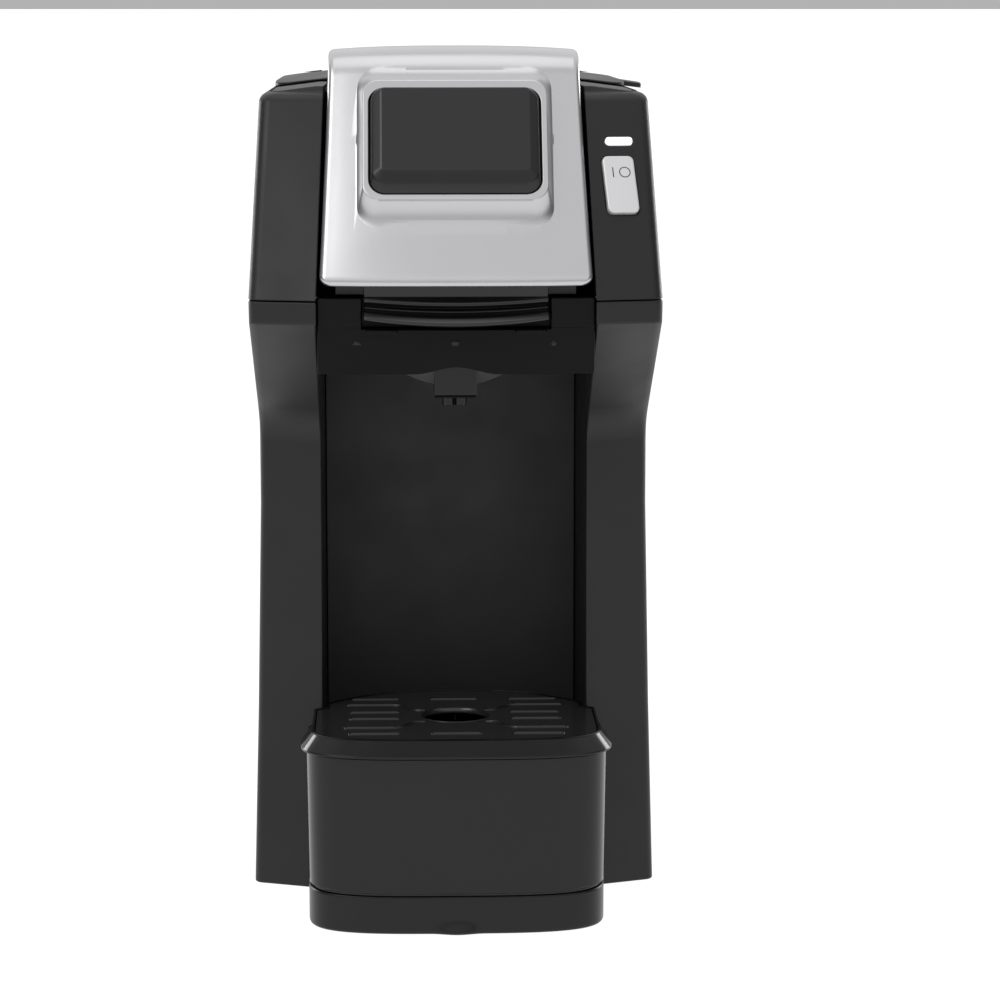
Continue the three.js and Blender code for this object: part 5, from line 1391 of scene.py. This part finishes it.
    def badge(self) -> None:
        """Makes the bare bevelled plate in the boss."""
        frame = self.face_frame((self.plate[1] + self.plate[2]) / 2)
        layers = []
        for side, top, low, radius, out in (
            (0, 0, 0, 5.5, 1.9),
            (0, 0, 0, 5.5, 3.4),
            (0.9, 0.3, 3.4, 4.6, 5.6),
            (4.2, 1.2, 7.8, 1.2, 7.4),
        ):
            layers.append((self.face_outline(self.plate, side, top, low, radius), out))
        plate = standing("badge_plate_skin", frame, layers)
        ease_edges(plate, 0.5, 3, 12)
        self.take(plate, "brew_lid", ["badge_plate"], CHARCOAL)

    def handle(self) -> None:
        """Makes the lift handle, whose ridge and lip bow forward over a hollow face."""
        top, back, waist = self.bottom_z - self.handle_gap, self.handle_back_y, self.handle_waist_y
        ridge_z = self.handle_low_z + (top - self.handle_low_z) * self.ridge_share
        loops = []
        for place in centred(24):
            bow = 1 - place * place
            lip_y = self.lip_y + self.lip_bow * (1 - bow)
            sag = self.lip_sag * (1 - bow)
            ridge_y = waist - self.ridge_out - bow
            slot = self.slot_bow * bow
            waist_z = 225.2 + sag
            profile = [
                (back, top), (waist, top), (waist, ridge_z + 1.6), (ridge_y, ridge_z + 1.6 - slot),
                (ridge_y - 0.25, ridge_z + 0.6 - slot), (ridge_y, ridge_z - slot),
                (waist - 0.5, ridge_z - 1.3 - slot), (waist, ridge_z - 2.0 - slot),
                (waist - 0.4, waist_z), (waist - 1.8, waist_z - 1.0),
                (lip_y + 2.2, 224.4 + sag), (lip_y + 0.4, 222.9 + sag), (lip_y, 222.3 + sag),
                (lip_y + 0.5, 221.6 + sag), (lip_y + 2.2, 221.2 + sag), (back, 222.7 + sag),
            ]
            loops.append([Vector((place * self.handle_half, y, z)) for y, z in profile])
        handle = loft("lift_handle_skin", loops)
        ease_edges(handle, 0.35, 3, 40)
        self.take(handle, "brew_lid", ["lift_handle"], HANDLE_BLACK)

    def liner(self) -> None:
        """Makes the lid's inner moulding with its round pocket, and the seal ring in it."""
        p = self.path()
        under = self.skirt - self.head.wall

        def roof(y: float) -> float:
            share = (y - p["roll_end"].x) / (self.hinge_y - p["roll_end"].x)
            return blend(p["roll_end"].y, self.hinge_z + self.barrel_radius, share)

        top_y, shoulder = p["roll_end"].x, p["face_end"].y - under
        face = self.front_y + self.head.lean * (shoulder - self.bottom_z)
        side = [
            (-105.0, 231.6), (-12.0, 231.6), (-12.0, roof(-12.0) - under), (top_y, roof(top_y) - under),
            (face + under, shoulder), (-105.0, self.bottom_z + self.skirt),
        ]
        body = loft("lid_liner_skin", [[Vector((x, y, z)) for y, z in side] for x in (-43.0, 43.0)])
        room = block("room", (-43, self.front_y, self.bottom_z), (43, -12, 330))
        trim = combine(self.hood(self.head.wall + 0.3, self.skirt), [room], Joining.KEEP)
        combine(body, [trim], Joining.ADD)
        pocket = prism("pocket", rectangle(-33, 33, -102.5, -32, 31.0), 229.0, 244.0)
        combine(body, [pocket], Joining.CUT)
        ease_edges(body, 0.5, 2, 50)
        self.take(body, "brew_lid", ["lid_liner"], INNER_BLACK)
        ring = [
            (21.6, 243.7), (21.6, 241.7), (22.4, 240.9), (23.3, 240.7),
            (24.2, 240.9), (25.0, 241.7), (25.0, 243.7),
        ]
        seal = turned("pod_seal_ring", 0, -70.0, ring)
        ease_edges(seal, 0.25, 2, 40)
        self.take(seal, "brew_lid", ["pod_seal"], SILICONE)


@dataclass
class DripStation(Assembly):
    """Foot, cup rest, drip tray with its glossy band, and the slotted grate."""

    side_y: float = -90.0
    side_rear_y: float = -58.5
    neck_half: float = 48.6
    neck_y: float = -55.6
    back_y: float = -23.5
    back_radius: float = 60.0
    tray_half: float = 52.9
    tray_front_y: float = -113.6
    rim_z: float = 72.0
    rest_top_z: float = 65.5
    plate_thickness: float = 2.2
    plate_sink: float = 0.35
    swelling: float = 1.8
    swell_half: float = 10.0
    foot_half: float = 54.2
    foot_front_y: float = -117.5
    foot_back_y: float = -57.2
    foot_top_z: float = 15.0
    foot_wall: float = 2.4
    foot_roof_z: float = 12.6
    foot_edge: float = 1.2
    boss_radius: float = 10.2
    pocket_radius: float = 7.8
    rest_foot: Point = (54.3, -119.2)
    rest_rim: Point = (55.0, -116.5)
    rest_wall: float = 2.4
    basin_plan: Point = (54.3, -116.5)
    band_plan: Point = (56.8, -118.4)
    hole_y: float = -70.0
    hole_radii: Point = (12.0, 12.9)
    slot_halves: tuple[float, float, float] = (0.5, 0.95, 1.15)

    def outline(self, half: float, front: float, inset: float) -> list[Point]:
        """Returns the plan that cup rest, tray and grate share.

        Args:
            half: Half width at the sides.
            front: Y of the nose's foremost point.
            inset: Distance by which the whole outline shrinks.

        Returns:
            Points of the round nose, the neck and the round back.
        """
        side, neck, radius = half - inset, self.neck_half - inset, self.back_radius - inset
        centre = self.back_y - self.back_radius
        reach = math.asin(neck / radius)
        back = []
        for i in range(41):
            angle = reach * (1 - i / 20)
            back.append((radius * math.sin(angle), centre + radius * math.cos(angle)))
        shoulder, neck_y = self.side_rear_y - inset, self.neck_y - inset
        return [
            *nose(side, front + inset, self.side_y), (side, shoulder), (neck, neck_y),
            *back, (-neck, neck_y), (-side, shoulder),
        ]

    def build(self) -> None:
        """Makes the four pieces."""
        self.foot()
        self.rest()
        self.tray()
        self.grate()

    def foot(self) -> None:
        """Makes the foot with its low swelling, the tongue between the columns and the floor."""

        def plan(inset: float, swell: float = 0.0) -> list[Point]:
            side, front = self.foot_half - inset, self.foot_front_y + inset
            back, reach = self.foot_back_y - inset, self.swell_half
            edge = nose(side, front, self.side_y)
            middle = []
            for i in range(27):
                x = i * 0.75 - 9.75
                middle.append((x, front - swell * math.cos(math.pi * x / (2 * reach)) ** 2))
            left = [point for point in edge if point[0] < -reach]
            right = [point for point in edge if point[0] > reach]
            return [*left, *middle, *right, (side, back), (-side, back)]

        edge = self.foot_edge
        loops = []
        for left, risen in quarter_turn(5):
            loops.append(level(plan(edge * left, self.swelling), 0.8 + edge * risen))
        for z, share in ((2.8, 0.75), (3.8, 0.38), (5.0, 0.1), (6.2, 0.0), (14.5, 0.0)):
            loops.append(level(plan(0.0, self.swelling * share), z))
        foot = loft("base_skin", [*loops, level(plan(0.5), self.foot_top_z)])
        tongue = block("tongue", (-49.2, -60.4, 0.8), (49.2, 20.7, self.foot_top_z))
        housing = LowerHousing()
        floor = loft("floor", [[Vector((v.x, v.y, z)) for v in housing.plan(1.5, 2.7)] for z in (1.8, 5.0)])
        combine(foot, [tongue, floor], Joining.ADD)
        hollow = prism("hollow", plan(self.foot_wall), -2.0, self.foot_roof_z)
        under = block("under", (-46.8, -62.4, -2.0), (46.8, 18.3, self.foot_roof_z))
        combine(foot, [hollow, under], Joining.CUT)
        places = [(-38, -92, 12.9), (38, -92, 12.9), (-56, 94, 8.1), (56, 94, 8.1)]
        combine(foot, [post("boss", x, y, 1.4, top, self.boss_radius) for x, y, top in places], Joining.ADD)
        cutters = [post("pocket", x, y, -2.0, 3.7, self.pocket_radius) for x, y, _ in places]
        cutters += [block("vent", (9.0 * i - 28.5, 50, 0), (9.0 * i - 25.5, 90, 15)) for i in range(7)]
        combine(foot, cutters, Joining.CUT)
        ease_edges(foot, 0.4, 2, 45)
        self.take(foot, "housing", ["base"], SATIN_FOOT)

    def rest(self) -> None:
        """Makes the open drum with a recessed seam at its foot."""

        def low(inset: float, z: float) -> Loop:
            return level(self.outline(*self.rest_foot, inset), z)

        def high(inset: float, z: float) -> Loop:
            return level(self.outline(*self.rest_rim, inset), z)

        seam = [low(1.2, 15.3), low(1.2, 16.0), low(0.5, 16.3), low(0.0, 16.8)]
        drum = loft("cup_rest_skin", [*seam, high(0.0, 65.0), high(0.5, self.rest_top_z)])
        wall, top = self.rest_wall, self.rest_top_z
        hollow = loft("hollow", [low(wall, 17.7), high(wall, top), high(wall, top + 2)])
        combine(drum, [hollow], Joining.CUT)
        ease_edges(drum, 0.3, 2, 50)
        self.take(drum, "rest", ["cup_rest"], GLOSS_BLACK)

    def tray(self) -> None:
        """Makes the basin, the rim and the grip band round the front half."""
        low_z = self.rest_top_z + 0.3

        def rim(inset: float, z: float) -> Loop:
            return level(self.outline(self.tray_half, self.tray_front_y, inset), z)

        def basin(inset: float, z: float) -> Loop:
            return level(self.outline(*self.basin_plan, inset), z)

        def closed(outline: list[Point], x: float) -> list[Point]:
            return [*outline, (x, -86.0), (-x, -86.0)]

        wide = closed(nose(*self.band_plan, self.side_y), self.band_plan[0])
        narrow = closed(nose(self.tray_half, self.tray_front_y, self.side_y), self.tray_half)
        band = loft("band", [level(wide, low_z), level(wide, 66.6), level(narrow, 71.7)])
        tray = loft("drip_tray_skin", [rim(0, low_z), rim(0, 71.6), rim(0.4, self.rim_z)])
        tub = loft("basin", [basin(5.4, 40.0), basin(4.2, 40.8), basin(3.0, low_z + 0.3)])
        combine(tray, [tub, band], Joining.ADD)
        well = loft("well", [basin(7.2, 41.8), basin(4.8, low_z)])
        throat = loft("throat", [rim(4.1, low_z - 0.3), rim(4.1, self.rim_z)])
        seat = loft("seat", [rim(1.1, 69.5), rim(1.1, self.rim_z + 2)])
        combine(tray, [well, throat, seat], Joining.CUT)
        ease_edges(tray, 0.2, 3, 40)
        self.take(tray, "tray", ["drip_tray"], GLOSS_BLACK)

    def slots(self) -> list[list[Point]]:
        """Returns the centre lines of the grate's slots, straight and bent, in plan.

        Returns:
            Lines of two points, or of 14 where the slot bends.
        """
        lines = [[(-8.2, y), (8.2, y)] for y in (-42.0, -102.0)]
        for side in (-1, 1):
            lines += [[(side * 21.5, y), (side * 38.2, y)] for y in (-42.0, -65.3, -76.6, -102.0)]
            for outer, end in ((-52.2, -61.6), (-91.7, -80.8)):
                start, middle, close = side * 23.5, side * 17.65, side * 11.8
                line = [(side * 40.0, outer)]
                for i in range(13):
                    s = i / 12
                    x = start * (1 - s) ** 3 + middle * 3 * s * (1 - s) + close * s**3
                    y = outer * ((1 - s) ** 3 + 3 * s * (1 - s) ** 2) + end * (3 * s * s * (1 - s) + s**3)
                    line.append((x, y))
                lines.append(line)
        return lines

    @staticmethod
    def slot_outline(line: list[Point], half: float) -> list[Point]:
        """Returns the outline of a slot with round ends.

        Args:
            line: Centre line of the slot.
            half: Half of the slot's width.

        Returns:
            Points all round the slot.
        """
        points = [Vector(p) for p in line]
        sides: list[list[Point]] = [[], []]
        for i, point in enumerate(points):
            run = (points[min(i + 1, len(points) - 1)] - points[max(i - 1, 0)]).normalized()
            across = Vector((-run.y, run.x)) * half
            sides[0].append(tuple(point + across))
            sides[1].append(tuple(point - across))
        ends = []
        for at, toward in ((points[-1], points[-1] - points[-2]), (points[0], points[0] - points[1])):
            first = math.atan2(toward.y, toward.x) + math.pi / 2
            angles = [first - math.pi * k / 8 for k in range(1, 8)]
            ends.append([(at.x + half * math.cos(angle), at.y + half * math.sin(angle)) for angle in angles])
        return [*sides[0], *ends[0], *reversed(sides[1]), *ends[1]]

    def grate(self) -> None:
        """Makes the plate with its slots, its round hole and the skirt under its edge."""
        low = self.rim_z - self.plate_thickness

        def plan(inset: float, z: float) -> Loop:
            return level(self.outline(self.tray_half, self.tray_front_y, inset), z)

        top = self.rim_z - self.plate_sink
        inner, outer = self.hole_radii
        slit, mouth, rim = self.slot_halves
        plate = loft("drip_grate_skin", [plan(1.4, low), plan(1.4, top)])
        rims = [prism("rim", self.slot_outline(line, rim), top - 0.4, self.rim_z) for line in self.slots()]
        rims.append(post("rim", 0, self.hole_y, top - 0.4, self.rim_z, outer))
        combine(plate, rims, Joining.ADD)
        skirt = loft("skirt", [plan(4.7, low - 4.0), plan(4.7, low + 0.3)])
        combine(skirt, [loft("inner", [plan(6.5, low - 6.0), plan(6.5, low)])], Joining.CUT)
        combine(plate, [skirt], Joining.ADD)
        hole = [
            (0.01, low - 2), (inner, low - 2), (inner, self.rim_z - 0.9),
            (outer, self.rim_z), (outer, self.rim_z + 2), (0.01, self.rim_z + 2),
        ]
        cutters = [turned("hole", 0, self.hole_y, hole)]
        for line in self.slots():
            loops = [level(self.slot_outline(line, slit), z) for z in (low - 2, self.rim_z - 0.5)]
            loops += [level(self.slot_outline(line, mouth), z) for z in (self.rim_z, self.rim_z + 1)]
            cutters.append(loft("slot", loops))
        combine(plate, cutters, Joining.CUT)
        ease_edges(plate, 0.15, 2, 50)
        # The grate's finish is gloss black lightened as painted light.
        self.take(plate, "grate", ["drip_grate"], GRATE_PAINTED_LIGHT_BLACK)


@dataclass
class WaterSystem(Assembly):
    """Water tank and its crowned lid with the finger tab."""

    half: float = 67.5
    reach: float = 74.4
    front_y: float = 5.0
    rear_y: float = 106.6
    low_z: float = 304.8
    crest_z: float = 309.35
    edge_z: float = 304.7
    flat: float = 50.0
    fall: float = 0.1275
    lead: float = 18.0
    front_drop: float = 1.2
    hinge: Point = (109.0, 302.4)
    rods: tuple[tuple[str, float, float], ...] = (("barrel", 52, 3.4), ("pins", 55, 1.5))
    outlet: Point = (-26.0, 56.0)

    def build(self) -> None:
        """Makes the tank and its lid."""
        self.tank()
        self.lid()

    def tank(self) -> None:
        """Makes the open tank with its flange and outlet."""

        def plan(grow: float, z: float) -> Loop:
            return level(rectangle(-60 - grow, 60 + grow, 44 - grow, 102 + grow, 9 + grow), z)

        tank = loft("water_tank_skin", [plan(-1.5, 240.0), plan(-0.4, 240.5), plan(0, 241.6), plan(0, 302.5)])
        spout = post("outlet", *self.outlet, 232.0, 241.8, 6.0)
        combine(tank, [loft("flange", [plan(3, 300.7), plan(3, 302.5)]), spout], Joining.ADD)
        inside = loft("inside", [plan(-3.0, 241.8), plan(-1.8, 243.0), plan(-1.8, 307.0)])
        combine(tank, [inside, post("bore", *self.outlet, 229.0, 260.0, 3.0)], Joining.CUT)
        ease_edges(tank, 0.25, 2, 45)
        self.take(tank, "housing", ["water_tank"], SMOKED)

    def lid(self) -> None:
        """Makes the crowned lid with its hinge barrel, stub pins and finger tab."""

        def section(y: float, drop: float) -> Loop:
            edge = self.low_z - (self.reach - self.flat) * self.fall
            crown = []
            for s in centred(16):
                x = s * self.reach
                crown.append((x, self.crest_z - drop - (self.crest_z - self.edge_z) * (x / self.half) ** 2))
            start, end = (-self.flat, self.low_z), (self.flat, self.low_z)
            points = [start, (-self.reach, edge), *crown, (self.reach, edge), end]
            return [Vector((x, y, z)) for x, z in points]

        loops = [section(self.front_y - 2, self.front_drop), section(self.front_y, self.front_drop)]
        for i in range(1, 7):
            share = i / 6
            loops.append(section(self.front_y + self.lead * share, self.front_drop * (1 - share) ** 2))
        loops.append(section(self.rear_y + 4, 0.0))
        lid = loft("tank_lid_skin", loops)
        plan = prism("plan", rectangle(-self.half, self.half, self.front_y, self.rear_y, 7.0), 299.0, 312.0)
        combine(plan, [prism("tab", rectangle(0, self.reach, 14.0, 34.0, 2.2), 299.0, 312.0)], Joining.ADD)
        combine(lid, [plan], Joining.KEEP)
        parts = [cross_rod(name, -x, x, *self.hinge, radius) for name, x, radius in self.rods]
        parts.append(block("web", (-52, 104.2, self.low_z), (52, 109, self.low_z + 1.8)))
        combine(lid, parts, Joining.ADD)
        ease_edges(lid, 0.4, 3, 35)
        self.take(lid, "reservoir_lid", ["tank_lid"], SATIN_BLACK)


@dataclass
class Internals(Assembly):
    """Plain solids that keep their own form: softened edges and a finish each."""

    nodes: dict[str, bpy.types.Object] = field(default_factory=dict)

    @staticmethod
    def finishes() -> dict[str, Finish]:
        """Returns the finish of each carried-over solid, by node.

        Returns:
            Finishes by the name of the node.
        """
        feet = [f"rubber_foot_{end}_{side}" for end in ("front", "rear") for side in ("left", "right")]
        table = {
            SATIN_BLACK: "rear_cover",
            RUBBER: " ".join(["cord_bushing", *feet]),
            STEEL: "lower_needle upper_needle heater_bracket thermostat thermal_fuse lid_hinge_pin",
            ALUMINIUM: "heater",
            SILICONE: "inlet_hose riser_hose",
            INNER_BLACK: "check_valve outlet_pipe brew_switch",
            BOARD: "control_board",
            LAMP: "light_source",
        }
        return {name: finish for finish, names in table.items() for name in names.split()}

    def build(self) -> None:
        """Welds, softens and smooths the carried-over solids."""
        for name in self.finishes():
            piece = self.nodes[name]
            weld = piece.modifiers.new("weld", "WELD")
            weld.merge_threshold = 0.00001
            ease_edges(piece, 0.25, 2, 40)
            for face in piece.data.polygons:
                face.use_smooth = True

    def dress(self) -> None:
        """Gives each carried-over solid its finish."""
        for name, finish in self.finishes().items():
            piece = self.nodes[name]
            piece.data.materials.clear()
            piece.data.materials.append(finish.material())


# Studio


@dataclass(frozen=True)
class Lamp:
    """A square soft light that faces the machine's middle; place and size in mm."""

    name: str
    at: tuple[float, float, float]
    size: float
    watts: float
    aim_z: ClassVar[float] = 160.0

    def hang(self) -> None:
        """Adds the lamp to the scene."""
        light = bpy.data.lights.new(self.name, "AREA")
        light.shape = "SQUARE"
        light.size = self.size * MM
        light.energy = self.watts
        lamp = bpy.data.objects.new(self.name, light)
        lamp.location = Vector(self.at) * MM
        aim = Vector((0, 0, self.aim_z * MM)) - lamp.location
        lamp.rotation_euler = aim.to_track_quat("-Z", "Y").to_euler()
        bpy.context.scene.collection.objects.link(lamp)


LAMPS = (
    Lamp("key", (-900, -780, 1250), 800, 5.0),
    Lamp("top", (0, 0, 1500), 800, 2.0),
    Lamp("left_strip", (-900, 700, 350), 500, 4.0),
    Lamp("right_strip", (900, 700, 350), 500, 4.0),
)


@dataclass
class Studio:
    """Pale floor, soft light and the camera at the photograph's angle."""

    camera_at: tuple[float, float, float] = (-21.0, -1269.0, 333.0)
    tilt: float = 8.55
    pan: float = 1.804
    focal_pixels: float = 3283.0
    sky_light: float = 1.0
    side_light: float = 0.12
    top_share: float = 0.55
    horizon_share: float = 0.45
    side_span: Point = (0.5, 0.97)
    top_span: Point = (0.75, 1.0)
    horizon_span: Point = (0.0, 0.5)
    floor_reach: float = 400000.0
    floor_z: float = -0.05
    sensor: float = 36.0
    pixels: float = 1000.0

    def build(self) -> None:
        """Makes the sky, the floor, the lamps and the camera."""
        self.sky()
        self.floor()
        for lamp in LAMPS:
            lamp.hang()
        self.camera()

    def sky(self) -> None:
        """Sets a pale surround that dims at the sides, overhead and near the horizon."""
        world = bpy.data.worlds.new("studio")
        world.use_nodes = True
        tree = world.node_tree
        back = tree.nodes["Background"]
        back.inputs["Color"].default_value = (1.0, 0.995, 1.0, 1)
        way = tree.nodes.new("ShaderNodeTexCoord")
        parts = tree.nodes.new("ShaderNodeSeparateXYZ")
        tree.links.new(way.outputs["Generated"], parts.inputs["Vector"])
        sideways = tree.nodes.new("ShaderNodeMath")
        sideways.operation = "ABSOLUTE"
        tree.links.new(parts.outputs["X"], sideways.inputs[0])
        lights = (self.sky_light, self.side_light)
        across = self.falloff(tree, sideways.outputs["Value"], self.side_span, lights)
        upward = self.falloff(tree, parts.outputs["Z"], self.top_span, (1.0, self.top_share))
        horizon = self.falloff(tree, parts.outputs["Z"], self.horizon_span, (self.horizon_share, 1.0))
        strength = self.product(tree, self.product(tree, across, upward), horizon)
        tree.links.new(strength, back.inputs["Strength"])
        bpy.context.scene.world = world

    @staticmethod
    def product(
        tree: bpy.types.NodeTree, first: bpy.types.NodeSocket, second: bpy.types.NodeSocket
    ) -> bpy.types.NodeSocket:
        """Multiplies two values.

        Args:
            tree: Node tree that gets the node.
            first: Socket of the one value.
            second: Socket of the other.

        Returns:
            The socket of the product.
        """
        node = tree.nodes.new("ShaderNodeMath")
        node.operation = "MULTIPLY"
        tree.links.new(first, node.inputs[0])
        tree.links.new(second, node.inputs[1])
        return node.outputs["Value"]

    @staticmethod
    def falloff(
        tree: bpy.types.NodeTree, source: bpy.types.NodeSocket, span: Point, values: Point
    ) -> bpy.types.NodeSocket:
        """Maps a span of one value to another range, smoothly.

        Args:
            tree: Node tree that gets the node.
            source: Socket of the value.
            span: Where the change begins and ends.
            values: Results at the span's two ends.

        Returns:
            The socket of the result.
        """
        node = tree.nodes.new("ShaderNodeMapRange")
        node.interpolation_type = "SMOOTHSTEP"
        for name, value in zip(("From Min", "From Max", "To Min", "To Max"), (*span, *values)):
            node.inputs[name].default_value = value
        tree.links.new(source, node.inputs["Value"])
        return node.outputs["Result"]

    def floor(self) -> None:
        """Makes the plain pale floor, just under the feet."""
        corners = ((-1, -1), (1, -1), (1, 1), (-1, 1))
        outline = [Vector((x * self.floor_reach, y * self.floor_reach, self.floor_z)) for x, y in corners]
        floor = new_object("floor", outline, [[0, 1, 2, 3]])
        made = bpy.data.materials.new("pale_floor")
        made.use_nodes = True
        shader = made.node_tree.nodes["Principled BSDF"]
        shader.inputs["Base Color"].default_value = (0.14, 0.14, 0.14, 1)
        shader.inputs["Roughness"].default_value = 0.9
        shader.inputs["Specular IOR Level"].default_value = 0.0
        shader.inputs["Emission Color"].default_value = (1.0, 1.0, 1.0, 1)
        shader.inputs["Emission Strength"].default_value = 1.0
        floor.data.materials.append(made)

    def camera(self) -> None:
        """Sets the camera that matches the photograph."""
        data = bpy.data.cameras.new("camera")
        data.sensor_width = self.sensor
        data.lens = self.focal_pixels * self.sensor / self.pixels
        data.clip_start = 0.05
        data.clip_end = 2000.0
        camera = bpy.data.objects.new("camera", data)
        camera.location = Vector(self.camera_at) * MM
        camera.rotation_euler = (math.radians(90.0 - self.tilt), 0.0, math.radians(-self.pan))
        bpy.context.scene.collection.objects.link(camera)
        bpy.context.scene.camera = camera


def clear_scene() -> None:
    """Removes whatever the new file starts with."""
    for item in list(bpy.data.objects):
        bpy.data.objects.remove(item, do_unlink=True)


def main() -> None:
    """Builds the machine's sub-assemblies in order and reports their pieces."""
    logging.basicConfig(level=logging.INFO, format="%(name)s: %(message)s")
    clear_scene()
    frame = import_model()
    bpy.context.scene.view_settings.view_transform = "Standard"
    Studio().build()
    assemblies = [
        LowerHousing(),
        UpperHousing(),
        ControlSet(),
        BrewHead(),
        BrewLid(),
        DripStation(),
        WaterSystem(),
        Internals(nodes=frame["nodes"]),
    ]
    for assembly in assemblies:
        assembly.build()
        assembly.dress()
        for piece, finish in assembly.made:
            LOG.info("%s: %s in %s", type(assembly).__name__, piece.name, finish.name)


if __name__ == "__main__":
    main()
